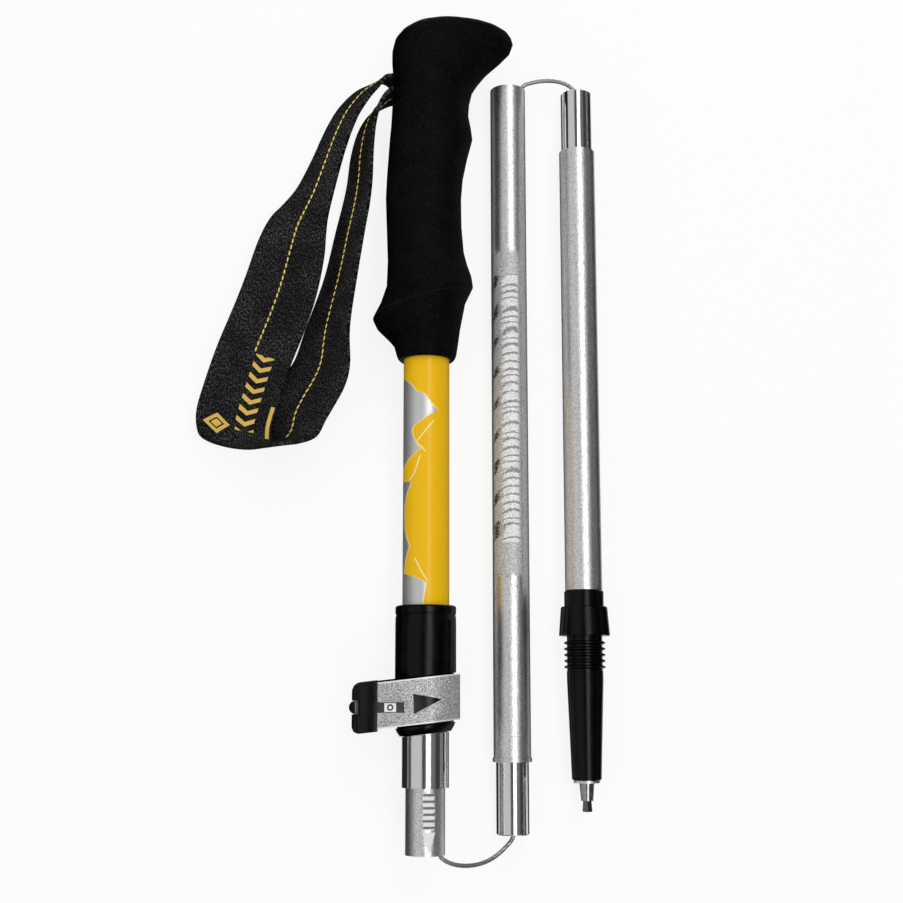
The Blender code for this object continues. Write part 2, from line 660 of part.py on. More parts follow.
def strap_stations():
    """The stations with the turn round the pin added, as rows of numbers in a closed loop."""
    rows = [Vector((STRAP_PIN_X + x, STRAP_PIN_HEIGHT + y, z + SURFACE_Z, heading, tilt, half))
            for x, y, z, heading, tilt, half in STRAP_STATIONS]
    radius = STRAP_PIN_RADIUS + SEAT_GAP + STRAP_THICK / 2
    last = rows[-1]
    for i in range(STRAP_WRAP_POINTS):
        turn = math.radians(-90 + 180 * i / (STRAP_WRAP_POINTS - 1))
        rows.append(Vector((STRAP_PIN_X + radius * math.cos(turn),
                            STRAP_PIN_HEIGHT + radius * math.sin(turn), HANDLE_Z, -90, 90, last[5])))
    return rows


def strap_frames():
    """Centre, half-width vector and face normal of each cross-section round the loop."""
    rows = strap_stations()
    count = len(rows)
    dense = [between([rows[(i + k) % count] for k in (-1, 0, 1, 2)], step / STRAP_SUBSTEPS)
             for i in range(count) for step in range(STRAP_SUBSTEPS)]
    frames = []
    for i, row in enumerate(dense):
        ahead, behind = dense[(i + 1) % len(dense)], dense[i - 1]
        along = Vector(ahead[:3]) - Vector(behind[:3])
        heading, tilt = math.radians(row[3]), math.radians(row[4])
        width = Vector((math.cos(tilt) * math.cos(heading), math.cos(tilt) * math.sin(heading),
                        math.sin(tilt)))
        frames.append((Vector(row[:3]), width * row[5], along.cross(width).normalized()))
    return frames


def make_strap(parent):
    rings = []
    for centre, half_width, normal in strap_frames():
        rise = normal * STRAP_THICK / 2
        rings.append([centre - half_width - rise, centre + half_width - rise,
                      centre + half_width + rise, centre - half_width + rise])
    strap = loft("wrist_strap", rings, closed_loop=True)
    keep(strap, "webbing", parent)
    smooth_round(strap)


def make_handle_tube(parent):
    upper = tube("handle_tube", HANDLE_TUBE_RADIUS, HANDLE_BORE, CLAMP_LEDGE + SEAT_GAP,
                 HANDLE_TUBE_TOP, HANDLE_X, HANDLE_Z)
    keep(upper, "yellow_paint", parent)
    flange_low = HANDLE_TUBE_TOP + SEAT_GAP
    flange_radius = HANDLE_TUBE_RADIUS - FIT_GAP
    spigot = HANDLE_BORE - FIT_GAP
    outline = [(0, flange_low + TUBE_PLUG_FLANGE), (flange_radius, flange_low + TUBE_PLUG_FLANGE),
               (flange_radius, flange_low), (spigot, flange_low),
               (spigot, HANDLE_TUBE_TOP - TUBE_PLUG_DEPTH), (0, HANDLE_TUBE_TOP - TUBE_PLUG_DEPTH)]
    plug = turned("handle_tube_plug", outline, HANDLE_X, HANDLE_Z, hollow=False)
    keep(plug, "black_plastic", parent)


# Lever clamp

def slanted(obj, start=SLANT_START, full=CLAMP_LEDGE):
    """Leans a shape along Y across the column, none at the start and all of it from the full line."""
    for vertex in obj.data.vertices:
        share = min(max((vertex.co.y - start) / (full - start), 0.0), 1.0)
        vertex.co.y += share * CLAMP_SLANT * (vertex.co.x - HANDLE_X)
    return obj


def lever_plane(points):
    """Points given from the handle axis, placed in the world's XZ plane."""
    return [(HANDLE_X + x, HANDLE_Z + z) for x, z in points]


def rounded_block(name, across, along, heights):
    """A block by the lever's middle line, with its two left corners rounded as seen from the front."""
    left, right = across
    low, high = LEVER_HEIGHT_AT + along[0], LEVER_HEIGHT_AT + along[1]
    centre_x = left + CAM_CORNER
    outline = [(right, low), (right, high)]
    outline += arc_points(CAM_CORNER, 90, 180, CORNER_POINTS, (centre_x, high - CAM_CORNER))
    outline += arc_points(CAM_CORNER, 180, 270, CORNER_POINTS, (centre_x, low + CAM_CORNER))
    return loft(name, [[(x, y, z) for x, y in outline] for z in heights])


def make_clamp_body(parent):
    groove = CLAMP_SLEEVE_RADIUS - CLAMP_GROOVE
    sleeve_bore = HANDLE_TUBE_RADIUS + FIT_GAP
    grip_bore = EXTENSION_RADIUS + FIT_GAP
    lip = CLAMP_TOP - CLAMP_LIP_HEIGHT
    outline = [
        (CLAMP_SLEEVE_RADIUS - CLAMP_BEVEL, CLAMP_TOP),
        (CLAMP_SLEEVE_RADIUS, CLAMP_TOP - CLAMP_BEVEL),
        (CLAMP_SLEEVE_RADIUS, lip),
        (groove, lip - CLAMP_GROOVE),
        (groove, lip - 3 * CLAMP_GROOVE),
        (CLAMP_SLEEVE_RADIUS - CLAMP_GROOVE / 3, lip - 4 * CLAMP_GROOVE),
        (CLAMP_SLEEVE_RADIUS, SLANT_START),
        (CLAMP_SLEEVE_RADIUS, CLAMP_WAIST_TOP),
        (CLAMP_WAIST_RADIUS, CLAMP_WAIST_TOP),
        (CLAMP_WAIST_RADIUS, CLAMP_COLLAR_TOP),
        (CLAMP_COLLAR_RADIUS, CLAMP_COLLAR_TOP),
        (CLAMP_COLLAR_RADIUS - CLAMP_BEVEL, CLAMP_COLLAR_TOP - COLLAR_SHOULDER),
        (CLAMP_COLLAR_END_RADIUS, CLAMP_END),
        (grip_bore, CLAMP_END),
        (grip_bore, CLAMP_LEDGE),
        (sleeve_bore, CLAMP_LEDGE),
        (sleeve_bore, CLAMP_TOP),
    ]
    body = slanted(real_mesh(turned("clamp_body", outline, HANDLE_X, HANDLE_Z)))
    lean = CLAMP_SLANT * sleeve_bore + FIT_GAP
    for vertex in body.data.vertices:
        # The ledge stays square, because the handle tube's square end stops on it.
        if abs(vertex.co.y - CLAMP_LEDGE) < lean:
            radius = math.hypot(vertex.co.x - HANDLE_X, vertex.co.z - HANDLE_Z)
            if radius < sleeve_bore + FIT_GAP:
                vertex.co.y = CLAMP_LEDGE
    ear_bottom, ear_top = HANDLE_Z + REAR_EAR_BOTTOM, HANDLE_Z + FRONT_EAR_TOP
    ears = slanted(rounded_block("clamp_ears", (HANDLE_X - EAR_REACH, HANDLE_X - EAR_ROOT),
                                 (-EAR_HALF_HEIGHT, EAR_TOP_REACH), (ear_bottom, ear_top)))
    knuckle_x = HANDLE_X - EAR_REACH + KNUCKLE_RADIUS - KNUCKLE_PROUD
    knuckle = rod("ear_knuckle", KNUCKLE_RADIUS, (knuckle_x, PIVOT_Y, ear_bottom + CLAMP_BEVEL),
                  (knuckle_x, PIVOT_Y, ear_top - CLAMP_BEVEL))
    bore_cutter = rod("clamp_ear_relief", grip_bore, (HANDLE_X, CLAMP_END - CUT_CLEAR, HANDLE_Z),
                      (HANDLE_X, CLAMP_TOP + CUT_CLEAR, HANDLE_Z), sides=TUBE_SIDES)
    cut(body, ears, "UNION")
    cut(body, knuckle, "UNION")
    cut(body, bore_cutter)
    split_low = HANDLE_Z + CLAMP_SPLIT - SPLIT_WIDTH / 2
    cut(body, box("clamp_split", (HANDLE_X - EAR_REACH - CUT_CLEAR, CLAMP_END - CUT_CLEAR, split_low),
                  (HANDLE_X - EXTENSION_RADIUS / 2, CLAMP_LEDGE, split_low + SPLIT_WIDTH)))
    cut(body, rod("clamp_bolt_hole", BOLT_RADIUS + FIT_GAP, (PIVOT_X, PIVOT_Y, SURFACE_Z - CUT_CLEAR),
                  (PIVOT_X, PIVOT_Y, PIVOT_Z)))
    keep(body, "black_plastic", parent)
    smooth_round(body)


def make_clamp_hardware(parent, nut_parent):
    ear_bottom = HANDLE_Z + REAR_EAR_BOTTOM
    bolt_low = SURFACE_Z + BOLT_RECESS
    pin_half = CAM_HALF_HEIGHT - 2 * SEAT_GAP
    pin = rod("lever_pivot_pin", PIVOT_PIN_RADIUS, (PIVOT_X, PIVOT_Y - pin_half, PIVOT_Z),
              (PIVOT_X, PIVOT_Y + pin_half, PIVOT_Z))
    cut(pin, rod("pivot_cross_hole", BOLT_RADIUS + FIT_GAP, (PIVOT_X, PIVOT_Y, PIVOT_Z - CUT_CLEAR),
                 (PIVOT_X, PIVOT_Y, PIVOT_Z + BOLT_SEAT + FIT_GAP)))
    keep(pin, "steel", parent)
    bolt = rod("clamp_bolt", BOLT_RADIUS, (PIVOT_X, PIVOT_Y, bolt_low),
               (PIVOT_X, PIVOT_Y, PIVOT_Z + BOLT_SEAT))
    keep(bolt, "steel", parent)
    smooth_round(bolt)
    plate_low = HANDLE_Z + FRONT_EAR_TOP + FIT_GAP
    plate = box("cam_plate", (PIVOT_X - CAM_PLATE_HALF, PIVOT_Y - CAM_PLATE_REACH, plate_low),
                (PIVOT_X + CAM_PLATE_HALF, PIVOT_Y + CAM_PLATE_REACH, plate_low + CAM_PLATE_THICK))
    cut(plate, rod("plate_hole", BOLT_RADIUS + FIT_GAP, (PIVOT_X, PIVOT_Y, plate_low - CUT_CLEAR),
                   (PIVOT_X, PIVOT_Y, plate_low + CUT_CLEAR)))
    keep(plate, "steel", parent)
    make_tension_nut(nut_parent, SURFACE_Z, ear_bottom - SEAT_GAP)


def make_tension_nut(parent, low, high):
    """A ribbed wheel that sets how tight the lever closes."""
    rim = []
    for i in range(2 * NUT_RIBS):
        radius = NUT_RADIUS if i % 2 == 0 else NUT_RADIUS - NUT_RIB
        turn = math.pi * i / NUT_RIBS
        rim.append((PIVOT_X + radius * math.cos(turn), PIVOT_Y + radius * math.sin(turn)))
    rings = [[(x, y, z) for x, y in rim] for z in (low, high)]
    nut = loft("tension_nut", rings)
    cut(nut, rod("nut_thread", BOLT_RADIUS + FIT_GAP, (PIVOT_X, PIVOT_Y, low + NUT_CAP),
                 (PIVOT_X, PIVOT_Y, high + CUT_CLEAR)))
    keep(nut, "black_plastic", parent)


def make_lever(parent):
    core_outer = LEVER_OUTER - COVER_THICK - FIT_GAP
    pivot = (-PIVOT_BACK, PIVOT_RISE)
    arm = arc_points(core_outer, LEVER_WRAP_END, 90, 15)
    arm_left = -COVER_LEFT - FIT_GAP
    chin = PIVOT_RISE - CAM_RADIUS + CAM_CHIN
    arm += [(arm_left, core_outer), (arm_left, chin), *ARM_UNDERSIDE]
    arm += arc_points(LEVER_INNER, 98, LEVER_WRAP_END, 15)
    core = slanted(extruded("lever_core", lever_plane(arm), LEVER_HEIGHT_AT, LEVER_HALF_HEIGHT))
    cam = [(arm_left, chin), (arm_left, LEVER_OUTER), (-PIVOT_BACK + CAM_BROW, LEVER_OUTER),
           (-PIVOT_BACK - SOFT_EDGE, LEVER_OUTER - SOFT_EDGE)]
    cam += ribbed_arc(pivot, CAM_RADIUS, 112, 262)
    cam += [(-PIVOT_BACK + x, PIVOT_RISE - CAM_RADIUS) for x in CAM_FLAT]
    head = slanted(extruded("lever_cam", lever_plane(cam), LEVER_HEIGHT_AT, CAM_HALF_HEIGHT + SEAT_GAP))
    bevel = head.modifiers.new("soft_corners", "BEVEL")
    bevel.width = SOFT_EDGE
    bevel.segments = 1
    bevel.limit_method = "ANGLE"
    bevel.angle_limit = math.radians(60)
    corners = rounded_block("cam_corners", (PIVOT_X - CAM_RADIUS, HANDLE_X),
                            (-CAM_HALF_HEIGHT, CAM_HALF_HEIGHT),
                            (HANDLE_Z - CUT_CLEAR, HANDLE_Z + 2 * LEVER_OUTER))
    cut(head, slanted(corners), "INTERSECT")
    for vertex in core.data.vertices:
        # The arm runs a little way into the cam head, so that the union is one body.
        if vertex.co.x < HANDLE_X - COVER_LEFT and vertex.co.z > HANDLE_Z:
            vertex.co.x -= ARM_OVERLAP
    cut(core, head, "UNION")
    fork = box("lever_fork", (PIVOT_X - CUT_CLEAR, PIVOT_Y - BOLT_SLOT / 2, HANDLE_Z),
               (PIVOT_X + FORK_DEPTH, PIVOT_Y + BOLT_SLOT / 2, PIVOT_Z + CAM_ROOF))
    cut(core, fork)
    hole_reach = CAM_HALF_HEIGHT + CUT_CLEAR
    cut(core, rod("lever_pivot_hole", PIVOT_PIN_RADIUS + FIT_GAP, (PIVOT_X, PIVOT_Y - hole_reach, PIVOT_Z),
                  (PIVOT_X, PIVOT_Y + hole_reach, PIVOT_Z)))
    keep(core, "black_plastic", parent)
    smooth_round(core)
    make_lever_cover(parent)


def ribbed_arc(centre, radius, first, last):
    """An arc whose surface steps in between ribs, for the thumb."""
    points = []
    step = (last - first) / (4 * CAM_RIBS)
    for i in range(4 * CAM_RIBS + 1):
        angle = math.radians(first + step * i)
        reach = radius - (CAM_RIB_DEPTH if i % 4 in (2, 3) else 0.0)
        points.append((centre[0] + reach * math.cos(angle), centre[1] + reach * math.sin(angle)))
    return points


def make_lever_cover(parent):
    inner = LEVER_OUTER - COVER_THICK
    outline = arc_points(LEVER_OUTER, LEVER_WRAP_END, 90, 17)
    outline += [(-COVER_LEFT, LEVER_OUTER), (-COVER_LEFT, inner)]
    outline += arc_points(inner, 90, LEVER_WRAP_END, 17)
    cover = slanted(extruded("lever_cover", lever_plane(outline), LEVER_HEIGHT_AT, COVER_HALF_HEIGHT))
    high = HANDLE_Z + LEVER_OUTER + COVER_THICK
    slot = box("cover_slot", (HANDLE_X - COVER_LEFT - COVER_THICK, PIVOT_Y - COVER_SLOT_HALF,
                              HANDLE_Z + inner - COVER_THICK),
               (HANDLE_X - COVER_SLOT_END, PIVOT_Y + COVER_SLOT_HALF, high))
    cut(cover, slot)
    low = HANDLE_Z + math.sqrt(inner ** 2 - ARROW_CORNERS[2][0] ** 2) - COVER_THICK
    rings = [[(HANDLE_X + x, LEVER_HEIGHT_AT + y, z) for x, y in ARROW_CORNERS] for z in (low, high)]
    cut(cover, loft("cover_arrow", rings))
    keep(cover, "lever_silver", parent)
    smooth_round(cover)


# Extension tube and lower tube

def make_extension(parent):
    stop = END_SLEEVE_END + END_SLEEVE_LIP + SEAT_GAP
    body = tube("extension_tube", EXTENSION_RADIUS, EXTENSION_BORE, stop, EXTENSION_TOP, HANDLE_X, HANDLE_Z)
    keep(body, "satin_aluminium", parent)
    flange = EXTENSION_TOP + SEAT_GAP
    outer = HANDLE_BORE - FIT_GAP
    spigot = EXTENSION_BORE - FIT_GAP
    inner = spigot - BUSH_WALL
    outline = [(outer, flange + BUSH_FLANGE), (outer, flange), (spigot, flange),
               (spigot, EXTENSION_TOP - BUSH_SPIGOT), (inner, EXTENSION_TOP - BUSH_SPIGOT),
               (inner, flange + BUSH_FLANGE)]
    keep(turned("extension_bush", outline, HANDLE_X, HANDLE_Z), "natural_plastic", parent)
    top = CLAMP_END - SEAT_GAP
    bore = EXTENSION_RADIUS + FIT_GAP
    sleeve = [(END_SLEEVE_RADIUS, top), (END_SLEEVE_RADIUS, END_SLEEVE_END),
              (EXTENSION_BORE, END_SLEEVE_END), (EXTENSION_BORE, END_SLEEVE_END + END_SLEEVE_LIP),
              (bore, END_SLEEVE_END + END_SLEEVE_LIP), (bore, top)]
    collar = real_mesh(turned("extension_end_sleeve", sleeve, HANDLE_X, HANDLE_Z))
    for vertex in collar.data.vertices:
        # Its upper end follows the lean of the clamp's collar; its lower end is square.
        if vertex.co.y > top - SEAT_GAP:
            vertex.co.y += CLAMP_SLANT * (vertex.co.x - HANDLE_X)
    keep(collar, "polished_aluminium", parent)
    smooth_round(collar)


def make_lower_tube(parent):
    body = tube("lower_tube", LOWER_TUBE_RADIUS, LOWER_BORE, LOWER_TUBE_END, LOWER_TUBE_TOP,
                HANDLE_X, HANDLE_Z)
    hole = rod("button_hole", BUTTON_RADIUS + FIT_GAP, (HANDLE_X, BUTTON_Y, HANDLE_Z + LOWER_BORE / 2),
               (HANDLE_X, BUTTON_Y, HANDLE_Z + 2 * LOWER_TUBE_RADIUS))
    cut(body, hole)
    keep(body, "satin_aluminium", parent)
    flange = LOWER_TUBE_TOP + SEAT_GAP
    outer = EXTENSION_BORE - FIT_GAP
    spigot = LOWER_BORE - FIT_GAP
    outline = [(outer, flange + BUSH_FLANGE), (outer, flange), (spigot, flange),
               (spigot, LOWER_TUBE_TOP - BUSH_SPIGOT), (CORD_HOLE, LOWER_TUBE_TOP - BUSH_SPIGOT),
               (CORD_HOLE, LOWER_TUBE_TOP), (CRIMP_RADIUS + FIT_GAP, LOWER_TUBE_TOP),
               (CRIMP_RADIUS + FIT_GAP, flange + BUSH_FLANGE)]
    keep(turned("lower_tube_bush", outline, HANDLE_X, HANDLE_Z), "natural_plastic", parent)
    seat = LOWER_TUBE_TOP + SEAT_GAP
    keep(cord_crimp("cord_anchor", seat, 1, HANDLE_X, HANDLE_Z), "steel", parent)


def cord_crimp(name, face, side, x, z):
    """A crimped sleeve on a cord's end, resting on a face, its bore open towards the cord."""
    end = face + side * CRIMP_LENGTH
    blind = face + side * (CRIMP_LENGTH - CRIMP_END)
    outline = [(0.0, end), (CRIMP_RADIUS, end), (CRIMP_RADIUS, face), (CORD_HOLE, face),
               (CORD_HOLE, blind), (0.0, blind)]
    if side < 0:
        outline.reverse()
    return turned(name, outline, x, z, sides=SMALL_SIDES, hollow=False)


def make_snap_button(parent, tube_parent):
    """The button waits inside the extension tube, held in by its wall, on a bowed leaf spring."""
    top = HANDLE_Z + LOWER_TUBE_RADIUS - BUTTON_RECESS
    foot = top - BUTTON_HEIGHT
    button = rod("snap_button", BUTTON_RADIUS, (HANDLE_X, BUTTON_Y, foot), (HANDLE_X, BUTTON_Y, top))
    bevel = button.modifiers.new("soft_rim", "BEVEL")
    bevel.width = BUTTON_EDGE
    bevel.segments = 2
    bevel.limit_method = "ANGLE"
    keep(button, "steel", parent)
    smooth_round(button)
    wall = HANDLE_Z + math.sqrt(LOWER_BORE ** 2 - (LEAF_WIDTH / 2) ** 2) - SEAT_GAP - LEAF_THICK
    under = foot - SEAT_GAP - LEAF_THICK
    rings = []
    for i in range(17):
        share = -1 + i / 8
        height = under + (wall - under) * (0.5 - 0.5 * math.cos(math.pi * share))
        y = BUTTON_Y + share * LEAF_HALF_LENGTH
        half = LEAF_WIDTH / 2
        rings.append([(HANDLE_X - half, y, height), (HANDLE_X + half, y, height),
                      (HANDLE_X + half, y, height + LEAF_THICK), (HANDLE_X - half, y, height + LEAF_THICK)])
    keep(loft("button_spring", rings), "steel", tube_parent)


# Folding sections

def make_middle_section(parent):
    body = tube("middle_tube", SECTION_RADIUS, SECTION_BORE, MIDDLE_END, MIDDLE_TOP, MIDDLE_X, MIDDLE_Z)
    keep(body, "satin_aluminium", parent)
    ring = tube("middle_end_ring", SECTION_RADIUS + END_RING_PROUD, FERRULE_RADIUS + FIT_GAP,
                END_RING_END, MIDDLE_END - FIT_GAP, MIDDLE_X, MIDDLE_Z)
    keep(ring, "polished_aluminium", parent)
    make_ferrule("middle", MIDDLE_FERRULE_END, MIDDLE_END + FERRULE_SEAT, MIDDLE_X, MIDDLE_Z, parent)
    cord("middle_cord_run", [(MIDDLE_X, LOWER_ARC[-1][1] + SEAT_GAP, MIDDLE_Z), (MIDDLE_X, 0.0, MIDDLE_Z),
                             (MIDDLE_X, UPPER_ARC[0][1] - SEAT_GAP, MIDDLE_Z)], parent)


def make_ferrule(name, mouth, seat_end, x, z, parent):
    """A polished ferrule and the grommet that guides the cord in its mouth."""
    side = 1 if seat_end > mouth else -1
    low, high = sorted((mouth, seat_end))
    inset = FERRULE_RADIUS - SOFT_EDGE
    if side > 0:
        outline = [(FERRULE_RADIUS, high), (FERRULE_RADIUS, low + SOFT_EDGE), (inset, low),
                   (FERRULE_BORE, low), (FERRULE_BORE, high)]
    else:
        outline = [(inset, high), (FERRULE_RADIUS, high - SOFT_EDGE), (FERRULE_RADIUS, low),
                   (FERRULE_BORE, low), (FERRULE_BORE, high)]
    keep(turned(name + "_ferrule", outline, x, z), "polished_aluminium", parent)
    near = mouth + side * GROMMET_INSET
    far = near + side * GROMMET_THICK
    low, high = sorted((near, far))
    grommet = tube(name + "_grommet", FERRULE_BORE - FIT_GAP, CORD_HOLE, low, high, x, z)
    keep(grommet, "black_plastic", parent)


def make_tip_section(parent):
    body = tube("tip_tube", SECTION_RADIUS, SECTION_BORE, TIP_TUBE_END, TIP_TUBE_TOP, TIP_X, TIP_Z)
    keep(body, "satin_aluminium", parent)
    make_ferrule("tip", TIP_COLUMN_TOP, TIP_TUBE_TOP - FERRULE_SEAT, TIP_X, TIP_Z, parent)
    plug_low = TIP_TUBE_END + SPIGOT_LENGTH + SEAT_GAP
    plug = tube("cord_plug", SECTION_BORE - FIT_GAP, CORD_HOLE, plug_low + CRIMP_LENGTH + SEAT_GAP,
                plug_low + CRIMP_LENGTH + SEAT_GAP + CORD_PLUG_THICK, TIP_X, TIP_Z)
    keep(plug, "natural_plastic", parent)
    crimp_face = plug_low + CRIMP_LENGTH
    keep(cord_crimp("cord_end_crimp", crimp_face, -1, TIP_X, TIP_Z), "steel", parent)
    cord("tip_cord_run", [(TIP_X, UPPER_ARC[-1][1] - SEAT_GAP, TIP_Z), (TIP_X, 0.0, TIP_Z),
                          (TIP_X, crimp_face - CRIMP_LENGTH / 2, TIP_Z)], parent)


def thread_outline(top):
    """Ribs of the basket thread, as rounded crests over a lower root."""
    points = [(THREAD_ROOT, top)]
    pitch = (THREAD_HEIGHT - THREAD_RELIEF) / THREAD_RIBS
    for i in range(THREAD_RIBS):
        start = top - THREAD_RELIEF - i * pitch
        points += [(THREAD_ROOT, start), (THREAD_RADIUS, start - 0.22 * pitch),
                   (THREAD_RADIUS, start - 0.45 * pitch), (THREAD_ROOT, start - 0.67 * pitch)]
    points.append((THREAD_ROOT, top - THREAD_HEIGHT))
    return points


def make_tip(parent):
    collar_top = TIP_TUBE_END - SEAT_GAP
    collar_end = collar_top - COLLAR_HEIGHT
    flare_end = collar_end - FLARE_HEIGHT
    body_top = flare_end - THREAD_HEIGHT
    body_end = body_top - TIP_BODY_HEIGHT
    spigot = SECTION_BORE - FIT_GAP
    bevel = SOFT_EDGE
    outline = [(0.0, TIP_TUBE_END + SPIGOT_LENGTH), (spigot, TIP_TUBE_END + SPIGOT_LENGTH),
               (spigot, collar_top), (COLLAR_RADIUS - bevel, collar_top),
               (COLLAR_RADIUS, collar_top - bevel), (COLLAR_RADIUS, collar_end),
               (FLARE_TOP_RADIUS - bevel, collar_end), (FLARE_TOP_RADIUS, collar_end - bevel),
               (FLARE_RADIUS, flare_end + 2 * bevel), (FLARE_RADIUS, flare_end)]
    outline += thread_outline(flare_end)
    outline += [(TIP_BODY_RADIUS, body_top), (TIP_BODY_RADIUS, body_top - TIP_BODY_PLAIN),
                (TIP_BODY_MID_RADIUS, body_top - TIP_BODY_MID),
                (TIP_BODY_END_RADIUS + bevel, body_end + bevel), (TIP_BODY_END_RADIUS, body_end),
                (HOLDER_RADIUS - FIT_GAP, body_end),
                (HOLDER_RADIUS - FIT_GAP, body_end + HOLDER_SHANK), (0.0, body_end + HOLDER_SHANK)]
    keep(turned("tip_sleeve", outline, TIP_X, TIP_Z, hollow=False), "black_plastic", parent)
    ring_low = body_end - FIT_GAP - TIP_RING_THICK
    shank = HOLDER_RADIUS - 2 * FIT_GAP
    ring = tube("tip_washer", TIP_RING_RADIUS, shank + FIT_GAP, ring_low, body_end - FIT_GAP, TIP_X, TIP_Z)
    keep(ring, "polished_aluminium", parent)
    holder_top = ring_low - FIT_GAP
    holder_end = holder_top - HOLDER_LENGTH
    socket = POINT_RADIUS * 0.6
    shank_top = body_end + HOLDER_SHANK - SEAT_GAP
    socket_top = holder_end + POINT_SHANK + SEAT_GAP
    holder = [(0.0, shank_top), (shank, shank_top), (shank, holder_top), (HOLDER_RADIUS, holder_top),
              (HOLDER_END_RADIUS, holder_end), (socket + FIT_GAP, holder_end),
              (socket + FIT_GAP, socket_top), (0.0, socket_top)]
    keep(turned("tip_holder", holder, TIP_X, TIP_Z, sides=SMALL_SIDES, hollow=False), "steel", parent)
    make_point(parent, holder_end, socket)


def make_point(parent, top, socket):
    """The hard point: a fluted crown, hollow at its end, on a shank in the holder."""
    low = top - POINT_LENGTH
    levels = ((top - FIT_GAP, 0.86), (top - 0.35 * POINT_LENGTH, 0.90), (low + SOFT_EDGE, 1.0), (low, 0.92))
    rings = []
    for y, swell in levels:
        ring = []
        for i in range(4 * POINT_FLUTES):
            turn = 2 * math.pi * i / (4 * POINT_FLUTES)
            radius = POINT_RADIUS * swell * (1 - FLUTE_DEPTH * (1 - math.cos(POINT_FLUTES * turn)))
            ring.append((TIP_X + radius * math.sin(turn), y, TIP_Z + radius * math.cos(turn)))
        rings.append(ring)
    point = loft("carbide_point", rings)
    cut(point, rod("point_shank", socket, (TIP_X, top - POINT_LENGTH / 4, TIP_Z),
                   (TIP_X, top + POINT_SHANK, TIP_Z)), "UNION")
    bm = bmesh.new()
    bmesh.ops.create_icosphere(bm, subdivisions=2, radius=POINT_RADIUS * 0.9)
    bmesh.ops.translate(bm, vec=(TIP_X, low - POINT_RADIUS * 0.45, TIP_Z), verts=bm.verts)
    cut(point, object_from(bm, "point_hollow"))
    keep(point, "steel", parent)
    smooth_round(point)


def main():
    clear_scene()
    handle = joint_empty("handle_body", (HANDLE_X, GRIP_END, HANDLE_Z))
    strap = joint_empty("strap_axis", (STRAP_PIN_X, STRAP_PIN_HEIGHT, HANDLE_Z), handle)
    lever = joint_empty("lever_axis", (PIVOT_X, PIVOT_Y, PIVOT_Z), handle)
    nut = joint_empty("nut_axis", (PIVOT_X, PIVOT_Y, SURFACE_Z), handle)
    extension = joint_empty("extension_body", (HANDLE_X, END_SLEEVE_END, HANDLE_Z), handle)
    lower = joint_empty("lower_body", (HANDLE_X, LOWER_TUBE_END, HANDLE_Z), extension)
    button = joint_empty("button_axis", (HANDLE_X, BUTTON_Y, HANDLE_Z + LOWER_TUBE_RADIUS), lower)
    lower_link = joint_empty("lower_fold_axis", LOWER_PIVOT, lower)
    middle = joint_empty("middle_body", (MIDDLE_X, MIDDLE_FERRULE_END, MIDDLE_Z), lower_link)
    upper_link = joint_empty("upper_fold_axis", UPPER_PIVOT, middle)
    tip = joint_empty("tip_body", (TIP_X, TIP_COLUMN_TOP, TIP_Z), upper_link)

    make_grip(handle)
    make_strap_anchor(handle)
    make_strap(strap)
    make_handle_tube(handle)
    make_clamp_body(handle)
    make_clamp_hardware(handle, nut)
    make_lever(lever)
    make_extension(extension)
    make_lower_tube(lower)
    make_snap_button(button, lower)
    anchor_end = LOWER_TUBE_TOP + CRIMP_LENGTH / 2
    cord("lower_cord_run", [(HANDLE_X, anchor_end, HANDLE_Z), (HANDLE_X, BUTTON_Y, HANDLE_Z),
                            (HANDLE_X, LOWER_ARC[0][1] + SEAT_GAP, HANDLE_Z)], lower)
    cord("lower_cord_arc", smooth_route(LOWER_ARC, 2), lower_link)
    make_middle_section(middle)
    cord("upper_cord_arc", smooth_route(UPPER_ARC, 2), upper_link)
    make_tip_section(tip)
    make_tip(tip)


main()
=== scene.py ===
"""Folding trekking pole: finishes, webbing, stitching, cords and a plain studio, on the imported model."""

import math

import bpy
from bpy.props import FloatProperty, FloatVectorProperty, IntProperty, PointerProperty
from mathutils import Matrix, Vector


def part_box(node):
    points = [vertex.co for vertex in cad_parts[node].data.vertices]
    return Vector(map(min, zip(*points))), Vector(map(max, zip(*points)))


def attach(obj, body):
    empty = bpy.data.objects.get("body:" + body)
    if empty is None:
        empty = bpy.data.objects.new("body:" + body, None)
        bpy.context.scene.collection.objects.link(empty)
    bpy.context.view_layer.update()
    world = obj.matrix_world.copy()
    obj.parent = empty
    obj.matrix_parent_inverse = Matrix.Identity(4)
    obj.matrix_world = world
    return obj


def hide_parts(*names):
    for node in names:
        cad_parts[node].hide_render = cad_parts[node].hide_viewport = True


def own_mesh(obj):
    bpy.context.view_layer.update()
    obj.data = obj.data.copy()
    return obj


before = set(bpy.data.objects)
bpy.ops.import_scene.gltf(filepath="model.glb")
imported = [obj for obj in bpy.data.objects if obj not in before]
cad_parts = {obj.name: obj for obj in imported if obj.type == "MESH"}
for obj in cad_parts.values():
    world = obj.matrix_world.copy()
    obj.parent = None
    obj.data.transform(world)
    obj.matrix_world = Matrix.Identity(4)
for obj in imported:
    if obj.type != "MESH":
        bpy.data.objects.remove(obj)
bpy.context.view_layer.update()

bl_info = {
    "name": "Folding Trekking Pole",
    "version": (1, 0, 0),
    "blender": (4, 5, 0),
    "location": "View3D > Sidebar > Pole",
    "description": "Dresses the folded pole: foam, webbing, painted and bare tubes, clamp and cords",
    "category": "Object",
}

SHADES = {}  # the finished materials, by name


def centre_of(node):
    """The middle of a node's box at rest."""
    low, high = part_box(node)
    return (low + high) / 2


